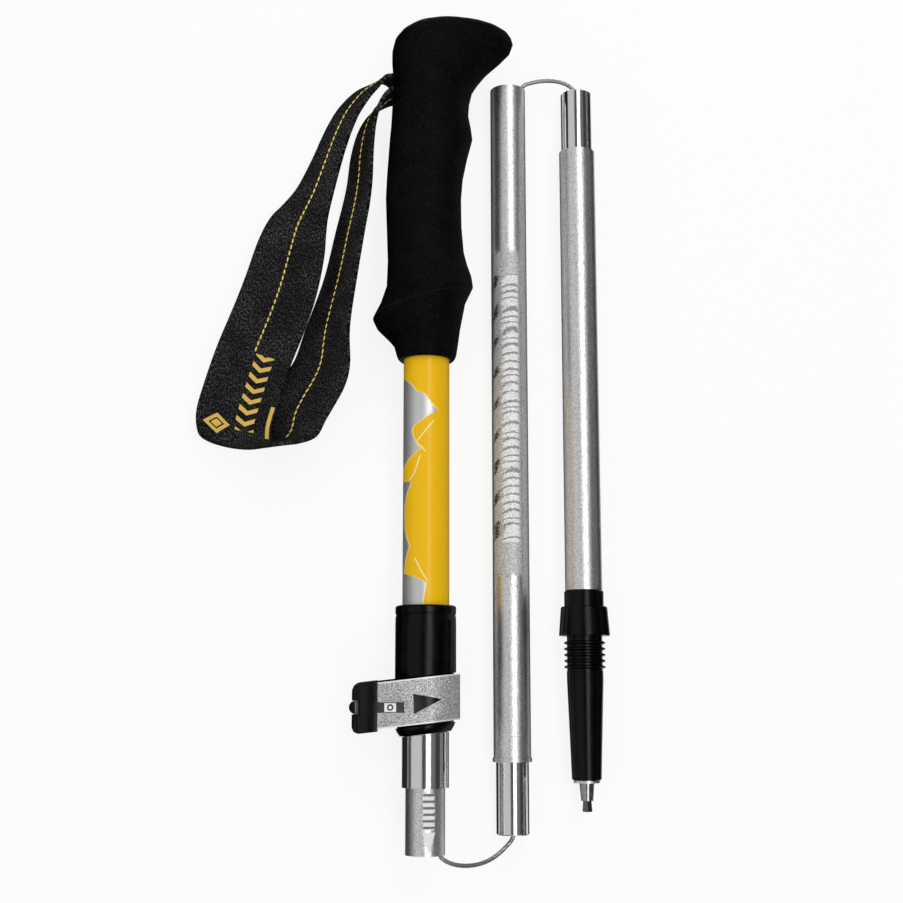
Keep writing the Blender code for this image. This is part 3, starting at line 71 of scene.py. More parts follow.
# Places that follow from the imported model
SURFACE_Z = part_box("middle_end_ring")[0].z
HANDLE = centre_of("handle_tube")
MIDDLE = centre_of("middle_tube")
TIP = centre_of("tip_tube")
STRAP_PIN = centre_of("strap_pin")
PIVOT = centre_of("lever_pivot_pin")

# Strap stations round the loop, from the anchor out along the upper leg and back along the lower.
# Centre (x and y from the anchor's pin, height over the surface), heading of the width in plan, tilt
# of the width, in degrees, and half width. The bottom fold is a little crisper than the solid's.
STRAP_STATIONS = (
    (-0.0044, 0.0031, 0.0215, -90, 90, 0.0090),
    (-0.0092, 0.0036, 0.0215, -80, 84, 0.0090),
    (-0.0130, 0.0046, 0.0214, -66, 72, 0.0090),
    (-0.0177, 0.0014, 0.0213, -54, 62, 0.0090),
    (-0.0228, -0.0027, 0.0212, -45, 54, 0.0090),
    (-0.0286, -0.0101, 0.0209, -37, 48, 0.0090),
    (-0.0326, -0.0180, 0.0205, -31, 44, 0.0090),
    (-0.0355, -0.0253, 0.0201, -27, 41, 0.0090),
    (-0.0382, -0.0330, 0.0196, -25, 37, 0.0090),
    (-0.0435, -0.0478, 0.0190, -24, 28, 0.0100),
    (-0.0477, -0.0568, 0.0186, -23, 20, 0.0118),
    (-0.0509, -0.0638, 0.0184, -21, 14, 0.0140),
    (-0.0538, -0.0745, 0.0184, -18, 9, 0.0158),
    (-0.0580, -0.0914, 0.0184, -16, 6, 0.0167),
    (-0.0628, -0.1061, 0.0184, -18, 4, 0.0169),
    (-0.0697, -0.1245, 0.0182, -18, 2, 0.0169),
    (-0.0749, -0.1418, 0.0178, -14, 0, 0.0170),
    (-0.0773, -0.1508, 0.0172, -13, 2, 0.0170),
    (-0.0776, -0.1568, 0.0164, -12, 6, 0.0169),
    (-0.0767, -0.1608, 0.0157, -11, 18, 0.0167),
    (-0.0720, -0.1626, 0.0154, -10, 45, 0.0165),
    (-0.0640, -0.1630, 0.0153, -10, 58, 0.0165),
    (-0.0566, -0.1616, 0.0150, -13, 56, 0.0165),
    (-0.0522, -0.1566, 0.0145, -18, 43, 0.0165),
    (-0.0504, -0.1483, 0.0140, -19, 32, 0.0165),
    (-0.0470, -0.1408, 0.0138, -18, 28, 0.0165),
    (-0.0428, -0.1333, 0.0138, -17, 30, 0.0165),
    (-0.0395, -0.1248, 0.0138, -16, 37, 0.0163),
    (-0.0374, -0.1093, 0.0140, -14, 48, 0.0158),
    (-0.0319, -0.0853, 0.0140, -12, 56, 0.0145),
    (-0.0279, -0.0638, 0.0134, -10, 54, 0.0120),
    (-0.0257, -0.0528, 0.0132, -9, 50, 0.0100),
    (-0.0240, -0.0418, 0.0136, -9, 50, 0.0090),
    (-0.0228, -0.0278, 0.0150, -14, 55, 0.0090),
    (-0.0205, -0.0168, 0.0170, -30, 62, 0.0090),
    (-0.0167, -0.0092, 0.0190, -50, 72, 0.0090),
    (-0.0116, -0.0046, 0.0208, -75, 84, 0.0090),
    (-0.0074, -0.0031, 0.0215, -90, 90, 0.0090),
    (-0.0034, -0.0031, 0.0215, -90, 90, 0.0090),
)
STRAP_WRAP_POINTS = 5
STRAP_THICK = 0.0018
STRAP_PIN_RADIUS = 0.0020
PIN_SEAT = 0.0003
WEB_STEPS = 6          # rows of faces from station to station
WEB_COLUMNS = 12
WEB_THICK = STRAP_THICK * 0.92
SELVEDGE = 0.0005      # rounding of the webbing's edges

# Stitches: the stations between which each leg is sewn, the steps that pace them out, how far their
# middle lies from the webbing's, half their height as a share of the thread, and their lean in degrees
UPPER_STITCHES = (1.5, 14.8)
LOWER_STITCHES = (22.2, 37.5)
STITCH_STEPS = 50
STITCH_RISE = STRAP_THICK * 0.46
STITCH_FLAT = 0.42
STITCH_LEAN = 7

# Cord arcs between the tubes, as the solids have them
LOWER_ARC = (
    (-0.0368, -0.1585, 0.0211),
    (-0.0368, -0.1595, 0.0211),
    (-0.0367, -0.1640, 0.0211),
    (-0.0358, -0.1715, 0.0211),
    (-0.0336, -0.1790, 0.0211),
    (-0.0316, -0.1850, 0.0211),
    (-0.0308, -0.1890, 0.0210),
    (-0.0297, -0.1909, 0.0207),
    (-0.0270, -0.1926, 0.0198),
    (-0.0236, -0.1937, 0.0184),
    (-0.0195, -0.1942, 0.0165),
    (-0.0155, -0.1940, 0.0145),
    (-0.0117, -0.1931, 0.0126),
    (-0.0082, -0.1915, 0.0108),
    (-0.0052, -0.1894, 0.0094),
    (-0.0026, -0.1870, 0.0084),
    (-0.0008, -0.1850, 0.0080),
    (0.0000, -0.1835, 0.0080),
    (0.0000, -0.1826, 0.0080),
)
UPPER_ARC = (
    (0.0000, 0.1205, 0.0080),
    (0.0000, 0.1215, 0.0080),
    (0.0003, 0.1265, 0.0080),
    (0.0018, 0.1330, 0.0080),
    (0.0042, 0.1400, 0.0080),
    (0.0057, 0.1455, 0.0080),
    (0.0059, 0.1500, 0.0080),
    (0.0064, 0.1520, 0.0081),
    (0.0083, 0.1538, 0.0082),
    (0.0112, 0.1546, 0.0084),
    (0.0145, 0.1552, 0.0087),
    (0.0182, 0.1553, 0.0091),
    (0.0217, 0.1549, 0.0095),
    (0.0250, 0.1540, 0.0099),
    (0.0278, 0.1525, 0.0102),
    (0.0299, 0.1506, 0.0104),
    (0.0313, 0.1488, 0.0105),
    (0.0313, 0.1478, 0.0105),
)

CORD_STEPS = 4         # points of the curve from one of these to the next
STRAND_SIDES = 6       # sides of the cord's outline for each strand
GROOVE_DEPTH = 0.1344  # between two strands, as a share of the radius
HALF_TURN = 9          # radii of length in which the strands go half way round

# The crease across the grip's front: a point on it and how it climbs
CREASE_START = (-0.0544, 0.0395)
CREASE_SLOPE = 0.28

# Silver on the painted tube: metres below the grip, and degrees from the tube's top line to its edge
HANDLE_RADIUS = 0.0092
SILVER_EDGE = (
    (-0.0300, -95),
    (0.0090, -95),
    (0.0096, -64),
    (0.0126, -38),
    (0.0156, -24),
    (0.0165, -6),
    (0.0197, 8),
    (0.0230, 24),
    (0.0246, 31),
    (0.0253, 11),
    (0.0277, -6),
    (0.0300, -28),
    (0.0319, -38),
    (0.0347, -35),
    (0.0396, -20),
    (0.0405, -12),
    (0.0429, -33),
    (0.0455, -53),
    (0.0482, -75),
    (0.0490, -95),
    (0.0540, -95),
    (0.0546, -37),
    (0.0598, -55),
    (0.0648, -67),
    (0.0749, -64),
    (0.0825, -43),
    (0.0860, -56),
    (0.0935, -68),
    (0.0946, -38),
    (0.0962, -16),
    (0.0977, 1),
    (0.1070, -8),
)
SILVER_RANGE = (-95.0, 35.0)  # the least and the most degrees above
BACK_TURN = -158       # degrees where the silver ends on the far side, its teeth to a metre, their depth
BACK_TEETH = 38
BACK_DEPTH = 16
PALE_STROKES = (
    ((0.0285, 19), (0.0378, -24)),
    ((0.0378, -24), (0.0400, -10)),
    ((0.0400, -10), (0.0418, -2)),
    ((0.0436, -14), (0.0472, -21)),
    ((0.0472, -21), (0.0514, -30)),
    ((0.0514, -30), (0.0538, -43)),
    ((0.0872, -27), (0.0920, -13)),
    ((0.0920, -13), (0.0968, 4)),
)

# Plain woven figures on the strap: metres across it from its middle, and along it from the anchor
WEB_CENTRE = 0.02
BARS_AT = (0.0052, 0.1508)
BARS_ALONG = (0.1500, 0.1850)
BAR_PITCH = 0.0050
BAR_HALF = 0.0042
PATCH_AT = (-0.0075, 0.1835)
PATCH_HALF = (0.0062, 0.0042)
EDGE_ACROSS = (0.0146, 0.0163)
EDGE_ALONG = (0.1715, 0.1870)

# Setting lines on the middle tube: metres below its upper end, and degrees from its top line
SCALE_PITCH = 0.0035
SCALE_GROUND = (0.0790, 0.2240)
SCALE_LINES = (0.0900, 0.2100)
GROUND_TURNS = (-60, 34)
LINE_TURNS = (-4, 27)
TICK_TURN = -44
TICK_HALF = 11
BOW_TURN = 8           # where the lines lie lowest, and how they climb to both sides
BOW_RISE = 0.00030

# Stop marks on the lower tube: metres below the end sleeve, and degrees from the top line
MARKS_TURN = 12
LADDER_HALF = 17
LADDER_ALONG = (0.0020, 0.0165)
LADDER_PITCH = 0.0026
ARROW_ALONG = (0.0174, 0.0262)
ARROW_SPREAD = 2100    # degrees for each metre from its point

# Studio: how white the camera and reflections see the floor, the light of the sky, what gloss sees of
# the room, and the black cloths on both sides of the pole
WHITE_SHARE = 0.87
WHITE_IN_GLOSS = 0.25
SKY_STRENGTH = 0.27
ROOM_STRENGTH = 0.045
FLAG_TONE = 0.02
FLAG_WIDTH = 0.40
FLAG_GAP = 0.020
FLAG_RIM = 0.010
LAMP_MIDDLE = Vector((-0.01, 0.20, 0.02))
LAMP_DISTANCE = 1.3
LAMP_LENGTH = 3.2
FLOOR_SIZE = 8.0
FLOOR_DROP = 0.0002    # under the surface that the pole lies on
FLAG_DROP = 0.0001
FLAG_LENGTH = 1.6
CAMERA_TARGET = Vector((-0.0259, -0.0202, 0.0176))
CAMERA_LENS = 55.93
CAMERA_SENSOR = 36.0

# The lever's cover: its middle on the handle's axis, how it climbs, and half its height
LEVER_MIDDLE = -0.12675
LEVER_SLANT = 0.1136
LEVER_HALF = 0.0094
LEVER_EDGE_HIGHLIGHT = 0.0006    # width of the painted highlight along its edges

# Small plate printed in the lever's slot
MARK_FROM_PIVOT = 0.0110
MARK_HALF = 0.0024

# Meshes: points this near are one, and the angles, in degrees, up to which faces count as flat, over
# which an edge is softened, and over which it stays crisp
JOIN_DISTANCE = 0.000002
FLAT_ANGLE = 1
SOFT_ANGLE = 40
CRISP_ANGLE = 38


# Settings that a user would change

class PoleSizes(bpy.types.PropertyGroup):
    """Sizes of the pieces that the scene adds."""

    weave: FloatProperty(name="Weave", description="Width of one yarn of the webbing", default=0.00055,
                         unit="LENGTH")
    stitch: FloatProperty(name="Stitch", description="Length of one stitch", default=0.0025, unit="LENGTH")
    stitch_gap: FloatProperty(name="Stitch gap", description="Gap from stitch to stitch", default=0.0002,
                              unit="LENGTH")
    thread: FloatProperty(name="Thread", description="Thickness of the thread", default=0.0008,
                          unit="LENGTH")
    cord: FloatProperty(name="Cord", description="Diameter of the steel cord", default=0.0018,
                        unit="LENGTH")
    cord_strands: IntProperty(name="Strands", description="Outer strands of the cord", default=6)
    camera_height: FloatProperty(name="Camera", description="Distance from the camera to the pole",
                                 default=0.610, unit="LENGTH")
    camera_tilt: FloatProperty(name="Tilt", description="Lean of the camera from straight down",
                               default=math.radians(10), subtype="ANGLE")


class PoleColours(bpy.types.PropertyGroup):
    """Colours of the finishes."""

    foam: FloatVectorProperty(name="Foam", description="Grip foam", subtype="COLOR",
                              default=(0.0020, 0.0020, 0.0020))
    plastic: FloatVectorProperty(name="Plastic", description="Clamp and tip mouldings", subtype="COLOR",
                                 default=(0.0016, 0.0016, 0.0016))
    webbing: FloatVectorProperty(name="Webbing", description="Strap yarn", subtype="COLOR",
                                 default=(0.0085, 0.0085, 0.0085))
    thread: FloatVectorProperty(name="Thread", description="Yellow thread", subtype="COLOR",
                                default=(1.0, 0.68, 0.16))
    paint: FloatVectorProperty(name="Paint", description="Amber of the handle tube", subtype="COLOR",
                               default=(0.90, 0.51, 0.002))
    silver: FloatVectorProperty(name="Silver", description="Silver patches and the lever", subtype="COLOR",
                                default=(0.46, 0.46, 0.45))
    metal: FloatVectorProperty(name="Aluminium", description="Bare tube", subtype="COLOR",
                               default=(0.86, 0.86, 0.85))
    floor: FloatVectorProperty(name="Floor", description="Floor of the studio", subtype="COLOR",
                               default=(0.90, 0.90, 0.90))


# Shader writing

class Value:
    """A socket that Python's operators work on, each adding its Math node. A test gives 1 or 0."""

    def __init__(self, shade, socket):
        self.shade = shade
        self.socket = socket

    def math(self, operation, *others):
        return self.shade.node("Math", {"operation": operation}, dict(enumerate((self, *others))))

    def __add__(self, other):
        return self.math("ADD", other)

    __radd__ = __add__

    def __sub__(self, other):
        return self.math("SUBTRACT", other)

    def __rsub__(self, other):
        return self.shade.node("Math", {"operation": "SUBTRACT"}, {0: other, 1: self})

    def __mul__(self, other):
        return self.math("MULTIPLY", other)

    __rmul__ = __mul__

    def __truediv__(self, other):
        return self.math("DIVIDE", other)

    def above(self, limit):
        return self.math("GREATER_THAN", limit)

    def below(self, limit):
        return self.math("LESS_THAN", limit)

    def least(self, other):
        return self.math("MINIMUM", other)

    def most(self, other):
        return self.math("MAXIMUM", other)

    def between(self, low, high):
        return self.above(low) * self.below(high)

    def size(self):
        return self.math("ABSOLUTE")

    def wrap(self):
        return self.math("FRACT")

    def saw(self):
        """A triangle wave from 0 to 1 and back as this value grows by 1."""
        return 1 - ((self.wrap() * 2) - 1).size()

    def ramp(self, low, high):
        """0 below low, 1 above high, and smooth in between."""
        return self.shade.node("MapRange", {"interpolation_type": "SMOOTHSTEP"},
                               {"Value": self, "From Min": low, "From Max": high})


class Shade:
    """One material, written node by node."""

    def __init__(self, name, roughness=0.5, metallic=0.0, **fixed):
        self.material = bpy.data.materials.new(name)
        self.material.use_nodes = True
        self.tree = self.material.node_tree
        self.tree.nodes.clear()
        self.bsdf = self.tree.nodes.new("ShaderNodeBsdfPrincipled")
        self.out = self.tree.nodes.new("ShaderNodeOutputMaterial")
        self.tree.links.new(self.bsdf.outputs[0], self.out.inputs["Surface"])
        self.bsdf.inputs["Roughness"].default_value = roughness
        self.bsdf.inputs["Metallic"].default_value = metallic
        for socket, value in fixed.items():
            self.bsdf.inputs[socket.replace("_", " ")].default_value = value
        SHADES[name] = self.material

    def node(self, kind, settings=None, sockets=None, output=0):
        """Any node: its settings first, then the values or links of its sockets, by name or number."""
        made = self.tree.nodes.new("ShaderNode" + kind)
        for name, value in (settings or {}).items():
            if name == "stops":
                self.stops(made.color_ramp, value)
            else:
                setattr(made, name, value)
        for name, value in (sockets or {}).items():
            self.feed(made.inputs[name], value)
        return Value(self, made.outputs[output])

    def stops(self, ramp, stops):
        while len(ramp.elements) < len(stops):
            ramp.elements.new(1.0)
        for element, (place, level) in zip(ramp.elements, stops):
            element.position = place
            element.color = (level, level, level, 1.0)

    def outline(self, along, rows, least, most):
        """Reads, at a place along, the straight-sided line through rows of (place, value)."""
        first, span = rows[0][0], rows[-1][0] - rows[0][0]
        stops = [((place - first) / span, (value - least) / (most - least)) for place, value in rows]
        level = self.node("ValToRGB", {"stops": stops}, {"Fac": (along - first) / span})
        return level * (most - least) + least

    def stroke(self, first, second, start, end):
        """How far the point (first, second) lies from the straight line between two points."""
        run, rise = end[0] - start[0], end[1] - start[1]
        share = ((first - start[0]) * run + (second - start[1]) * rise) / (run * run + rise * rise)
        share = share.most(0.0).least(1.0)
        aside = first - start[0] - share * run
        ahead = second - start[1] - share * rise
        return (aside * aside + ahead * ahead).math("SQRT")

    def feed(self, socket, value):
        """Links a value to a socket, or sets the socket's own number or colour."""
        if isinstance(value, Value):
            self.tree.links.new(value.socket, socket)
        elif hasattr(value, "__len__") and len(value) == 3 and len(socket.default_value) == 4:
            socket.default_value = (*value, 1.0)
        else:
            socket.default_value = value

    def place(self):
        """The point on the surface, in the object's own metres."""
        return self.node("TexCoord", output="Object")

    def flat(self):
        return self.node("UVMap", {"uv_map": "UVMap"})

    def split(self, vector):
        made = self.node("SeparateXYZ", sockets={0: vector})
        outputs = made.socket.node.outputs
        return [Value(self, outputs[i]) for i in range(3)]

    def stretched(self, vector, scale):
        return self.node("Mapping", sockets={"Vector": vector, "Scale": scale})

    def noise(self, vector, scale, detail=2.0, rough=0.5):
        return self.node("TexNoise", sockets={"Vector": vector, "Scale": scale, "Detail": detail,
                                              "Roughness": rough})

    def cells(self, vector, scale):
        return self.node("TexVoronoi", sockets={"Vector": vector, "Scale": scale})

    def mix(self, share, first, second):
        return self.node("Mix", {"data_type": "RGBA"}, {"Factor": share, 6: first, 7: second}, output=2)

    def colour(self, value):
        self.feed(self.bsdf.inputs["Base Color"], value)

    def roughness(self, value):
        self.feed(self.bsdf.inputs["Roughness"], value)

    def metallic(self, value):
        self.feed(self.bsdf.inputs["Metallic"], value)

    def bump(self, height, depth):
        bump = self.node("Bump", sockets={"Height": height, "Distance": depth, "Strength": 1.0})
        self.feed(self.bsdf.inputs["Normal"], bump)

    def current(self, name):
        """What feeds one of the shader's sockets now."""
        return Value(self, self.bsdf.inputs[name].links[0].from_socket)

    def around(self, axis_x, axis_z):
        """Degrees round a tube from its top line, and the place along it."""
        x, y, z = self.split(self.place())
        turn = (x - axis_x).math("ARCTAN2", z - axis_z)
        return turn * math.degrees(1.0), y


def grey(level):
    return (level, level, level)


def toned(colour, factor):
    """A colour made darker or lighter, with no channel over 1."""
    return [min(1, channel * factor) for channel in colour]


def foam_shade(colours):
    """Matt foam: fine pores, paler specks of dust and painted glints, and the faint crease under the palm.
    """
    shade = Shade("grip_foam", roughness=0.55, Specular_IOR_Level=0.05)
    place = shade.place()
    pores = shade.noise(place, 1500, 3.0, 0.7)
    soft = shade.noise(place, 120, 2.0)
    # Paler specks: partly dust, partly painted glints of light on the foam
    dust_and_glints = shade.noise(place, 2000, 2.0, 0.7).ramp(0.54, 0.70)
    x, y, _ = shade.split(place)
    crease = y - CREASE_START[1] - (x - CREASE_START[0]) * CREASE_SLOPE
    line = 1 - crease.size().ramp(0.0001, 0.0005)
    base = shade.mix(soft.ramp(0.3, 0.7), toned(colours.foam, 0.3), toned(colours.foam, 0.9))
    shade.colour(shade.mix((dust_and_glints * 0.14).most(line * 0.05), base, grey(0.10)))
    shade.bump(pores + soft * 0.6 - line * 0.8, 0.00022)
    return shade


def black_shade(colours, name="black_plastic", gloss=0.19):
    """Black moulding with a fine grain and faint scuffs."""
    shade = Shade(name, roughness=0.32, Specular_IOR_Level=gloss)
    place = shade.place()
    grain = shade.noise(place, 2600, 2.0)
    scuff = shade.noise(place, 160, 3.0, 0.6)
    shade.colour(shade.mix(scuff.ramp(0.45, 0.75), toned(colours.plastic, 0.3), toned(colours.plastic, 1.1)))
    shade.roughness(scuff.ramp(0.3, 0.8) * 0.10 + 0.20)
    shade.bump(grain, 0.00004)
    return shade


def lever_core_shade(colours):
    """Black plastic with a small white plate and ring printed in the slot of the cover."""
    shade = black_shade(colours, "lever_black", 0.3)
    x, y, z = shade.split(shade.place())
    across = x - (PIVOT.x + MARK_FROM_PIVOT)
    along = y - PIVOT.y
    plate = across.size().below(MARK_HALF) * along.size().below(MARK_HALF * 0.75) * z.above(PIVOT.z)
    from_middle = (across * across + along * along).math("SQRT")
    ring = (from_middle - MARK_HALF * 0.42).size().below(MARK_HALF * 0.14)
    shade.colour(shade.mix(plate * (1 - ring), shade.current("Base Color"), (0.86, 0.86, 0.84)))
    return shade


def webbing_shade(colours, sizes):
    """Heathered webbing, read from metres on the UV map, with plain woven bars near the lower fold."""
    shade = Shade("webbing", roughness=0.8, Specular_IOR_Level=0.06)
    across, along, _ = shade.split(shade.flat())
    rows = along / sizes.weave
    ribs = across / sizes.weave
    offset = (ribs * 0.5).math("FLOOR").math("MODULO", 2.0) * 0.5
    weft = (rows + offset).saw()
    warp = ribs.saw()
    height = (warp * 0.6 + weft * 0.7) * 0.8
    flecks = shade.noise(shade.stretched(shade.flat(), (1700, 1000, 1)), 1.0, 2.0, 0.75).ramp(0.48, 0.64)
    worn = shade.noise(shade.flat(), 60, 2.0).ramp(0.35, 0.65) * 0.5 + 0.35
    # Painted shade: the weave's hollows are darker and its tops lighter
    base = shade.mix(height.ramp(0.2, 0.9), toned(colours.webbing, 0.1), toned(colours.webbing, 1.2))
    base = shade.mix(flecks * worn, base, grey(0.13))
    aside = across - WEB_CENTRE
    bent = along + (aside - BARS_AT[0]).size() * 0.55
    bars = ((bent - BARS_AT[1]) / BAR_PITCH).wrap().below(0.42)
    bars = bars * (aside - BARS_AT[0]).size().below(BAR_HALF) * along.between(*BARS_ALONG)
    lean = (aside - PATCH_AT[0]).size() / PATCH_HALF[0] + (along - PATCH_AT[1]).size() / PATCH_HALF[1]
    patch = lean.below(1.0) * (1 - lean.between(0.42, 0.58))
    edge = aside.between(*EDGE_ACROSS) * along.between(*EDGE_ALONG)
    woven = bars.most(patch).most(edge)
    # Painted shade between the gold yarns: each row is darker at its edges than along its top
    yarn = (along / 0.0004).saw() * 0.5 + 0.5
    gold = shade.mix(yarn, toned(colours.thread, 0.45), colours.thread)
    shade.colour(shade.mix(woven, base, gold))
    shade.bump(height + flecks * 0.3 + woven * 0.8, 0.00030)
    return shade


def thread_shade(colours):
    """Yellow thread with the mottle of its twist."""
    shade = Shade("yellow_thread", roughness=0.6)
    place = shade.place()
    twist = shade.noise(place, 2400, 1.0)
    shade.colour(shade.mix(twist, toned(colours.thread, 0.7), toned(colours.thread, 1.2)))
    shade.bump(twist, 0.0001)
    return shade


def paint_shade(colours):
    """Amber lacquer with jagged silver down the left side, its pale rim, and a few pale strokes."""
    shade = Shade("yellow_paint", roughness=0.32, Specular_IOR_Level=0.2, Coat_Weight=0.10,
                  Coat_Roughness=0.08)
    turn, y = shade.around(HANDLE.x, HANDLE.z)
    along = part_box("grip_foam")[0].y - y
    warped = turn + (shade.noise(shade.place(), 420, 1.0) - 0.5) * 3.0
    edge = warped - shade.outline(along, SILVER_EDGE, *SILVER_RANGE)
    back = warped - BACK_TURN - (along * BACK_TEETH).saw() * BACK_DEPTH
    silver = (1 - edge.ramp(-0.7, 0.7)) * back.ramp(-0.7, 0.7)
    rim = (1 - (edge - 1.2).size().ramp(0.8, 2.0)) * turn.above(-84)
    per_degree = math.radians(HANDLE_RADIUS)  # metres round the tube
    round_tube = turn * per_degree
    strokes = None
    for (start, start_turn), (end, end_turn) in PALE_STROKES:
        gap = shade.stroke(along, round_tube, (start, start_turn * per_degree),
                           (end, end_turn * per_degree))
        strokes = gap if strokes is None else strokes.least(gap)
    pale = rim.most(1 - strokes.ramp(0.00014, 0.00034))
    fleck = shade.noise(shade.place(), 5200, 1.0)
    silver_colour = shade.mix(fleck, toned(colours.silver, 1.1), toned(colours.silver, 2.1))
    tone = shade.noise(shade.stretched(shade.place(), (1.0, 0.3, 1.0)), 260, 2.0)
    yellow = shade.mix(tone, toned(colours.paint, 0.90), colours.paint)
    yellow = shade.mix(pale * 0.85, yellow, (0.95, 0.84, 0.45))
    shade.colour(shade.mix(silver, yellow, silver_colour))
    shade.metallic(silver * 0.8)
    shade.roughness(silver * 0.10 + 0.32)
    shade.bump(fleck * silver, 0.00004)
    return shade


def satin_shade(colours, name="satin_aluminium"):
    """Blasted and anodised tube: an even satin with fine grain and small dark pits."""
    shade = Shade(name, roughness=0.35, metallic=1.0)
    place = shade.place()
    grain = shade.noise(shade.stretched(place, (1.0, 0.7, 1.0)), 2000, 2.0, 0.7)
    patches = shade.noise(shade.stretched(place, (1.0, 0.6, 1.0)), 800, 3.0, 0.65)
    pits = shade.noise(place, 2100, 1.0).ramp(0.66, 0.74)
    base = shade.mix(grain.ramp(0.35, 0.65), toned(colours.metal, 0.80), toned(colours.metal, 1.25))
    shade.colour(shade.mix(pits * 0.75, base, grey(0.12)))
    shade.roughness(grain * 0.08 + patches * 0.10 + 0.26)
    shade.bump(grain + patches - pits, 0.00008)
    return shade


def scale_shade(colours):
    """Satin tube with a worn band: white setting lines of uneven length and dark ticks beside them."""
    shade = satin_shade(colours, "etched_middle")
    turn, y = shade.around(MIDDLE.x, MIDDLE.z)
    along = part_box("middle_tube")[1].y - y
    place = shade.place()
    wander = shade.noise(shade.stretched(place, (0.0, 1.0, 0.0)), 130, 1.0) - 0.5
    ragged = shade.noise(place, 1300, 2.0, 0.7) - 0.5
    fine = shade.noise(place, 2400, 1.0, 0.6) - 0.5
    bow = (turn - BOW_TURN) * (turn - BOW_TURN) * BOW_RISE
    step = (along + wander * 0.0080) / SCALE_PITCH - bow
    gaps = 1 - (step.saw() + ragged * 0.8 + fine * 0.4).ramp(0.16, 0.40)
    reach = shade.noise(shade.stretched(place, (0.0, 1.0, 0.0)), 520, 1.0) * 44
    inside = (turn - LINE_TURNS[0] + reach + ragged * 26).ramp(-3.0, 3.0)
    inside = inside * (1 - (turn - LINE_TURNS[1] + ragged * 20).ramp(-3.0, 3.0))
    bars = inside * along.between(*SCALE_LINES) * 0.9
    beside = (turn - TICK_TURN + reach * 0.3 + fine * 60).size().below(TICK_HALF)
    ticks = (step * 0.25 + 0.15).saw().above(0.68) * beside
    ticks = ticks * along.between(*SCALE_LINES) * (fine + 0.62).ramp(0.30, 0.48)
    ground = (turn + ragged * 30).above(GROUND_TURNS[0]) * (turn + ragged * 24).below(GROUND_TURNS[1])
    ground = ground * (along + ragged * 0.012).between(*SCALE_GROUND) * 0.6
    mottled = shade.mix((fine + ragged + 0.5).ramp(0.30, 0.70), grey(0.14), (0.62, 0.62, 0.61))
    greyed = shade.mix(ground, shade.current("Base Color"), mottled)
    chalk = shade.mix((fine + ragged + 0.5).ramp(0.25, 0.55), grey(0.50), grey(0.90))
    white = shade.mix(gaps * 0.8, chalk, grey(0.12))
    shade.colour(shade.mix(ticks, shade.mix(bars, greyed, white), grey(0.02)))
    shade.roughness(shade.current("Roughness") + ground * 0.3)
    shade.metallic(1 - ground.most(bars).most(ticks))
    return shade


def stop_shade(colours):
    """Satin tube with a worn ladder of stop marks and an arrow the way that it pulls out."""
    shade = satin_shade(colours, "etched_lower")
    turn, y = shade.around(HANDLE.x, HANDLE.z)
    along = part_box("extension_end_sleeve")[0].y - y
    ragged = shade.noise(shade.place(), 1500, 2.0, 0.7) - 0.5
    turn = turn + ragged * 14
    side = (turn - MARKS_TURN).size()
    ladder = side.below(LADDER_HALF) * along.between(*LADDER_ALONG)
    steps = ((along + ragged * 0.0006) / LADDER_PITCH).saw().ramp(0.30, 0.50)
    arrow = (side - (ARROW_ALONG[1] - along) * ARROW_SPREAD).below(0.0) * along.between(*ARROW_ALONG)
    marks = shade.mix(steps.most(arrow), grey(0.16), grey(0.80))
    etched = ladder.most(arrow)
    shade.colour(shade.mix(etched, shade.current("Base Color"), marks))
    shade.roughness(shade.current("Roughness") + etched * 0.35)
    shade.metallic(1 - etched)
    return shade


def polished_shade():
    """Drawn and polished sleeve, streaked lightly along its length."""
    shade = Shade("polished_aluminium", roughness=0.07, metallic=1.0)
    place = shade.place()
    drawn = shade.noise(shade.stretched(place, (1.0, 0.02, 1.0)), 1800, 2.0)
    shade.colour(shade.mix(drawn, grey(0.78), grey(0.91)))
    shade.roughness(drawn * 0.10 + 0.11)
    return shade


def lever_shade(colours):
    """Silver lacquer with metal flake, and a painted highlight along its edges."""
    shade = Shade("lever_silver", roughness=0.45, metallic=0.3)
    place = shade.place()
    flake = shade.cells(place, 2400)
    fine = shade.noise(place, 2000, 2.0, 0.8)
    x, y, _ = shade.split(place)
    from_middle = (y - LEVER_MIDDLE - (x - HANDLE.x) * LEVER_SLANT).size()
    # Painted highlight: a near-white band along the top and bottom edges of the cover
    bright = from_middle.above(LEVER_HALF - LEVER_EDGE_HIGHLIGHT)
    base = shade.mix(fine.ramp(0.40, 0.60), toned(colours.silver, 0.38), toned(colours.silver, 1.55))
    shade.colour(shade.mix(bright * 0.85, base, (0.95, 0.95, 0.93)))
    shade.roughness(flake * 0.2 + 0.32)
    shade.bump(fine, 0.00006)
    return shade


def steel_shade(name, tone, roughness):
    """Brushed metal, as light as tone says."""
    shade = Shade(name, roughness=roughness, metallic=1.0)
    place = shade.place()
    grain = shade.noise(shade.stretched(place, (1.0, 0.15, 1.0)), 2600, 2.0)
    shade.colour(shade.mix(grain, toned(grey(tone), 0.75), toned(grey(tone), 1.2)))
    shade.roughness(grain * 0.15 + roughness - 0.05)
    shade.bump(grain, 0.00003)
    return shade


def natural_shade():
    """Undyed plastic of the bushes and the plug."""
    shade = Shade("natural_plastic", roughness=0.45)
    soft = shade.noise(shade.place(), 300, 2.0)
    shade.colour(shade.mix(soft, (0.50, 0.49, 0.45), (0.60, 0.59, 0.55)))
    shade.bump(soft, 0.00003)
    return shade


# Modelling helpers

def deselect():
    if bpy.context.object and bpy.context.object.mode != "OBJECT":
        bpy.ops.object.mode_set(mode="OBJECT")
    bpy.ops.object.select_all(action="DESELECT")


def select(obj):
    deselect()
    bpy.context.view_layer.objects.active = obj
    obj.select_set(True)


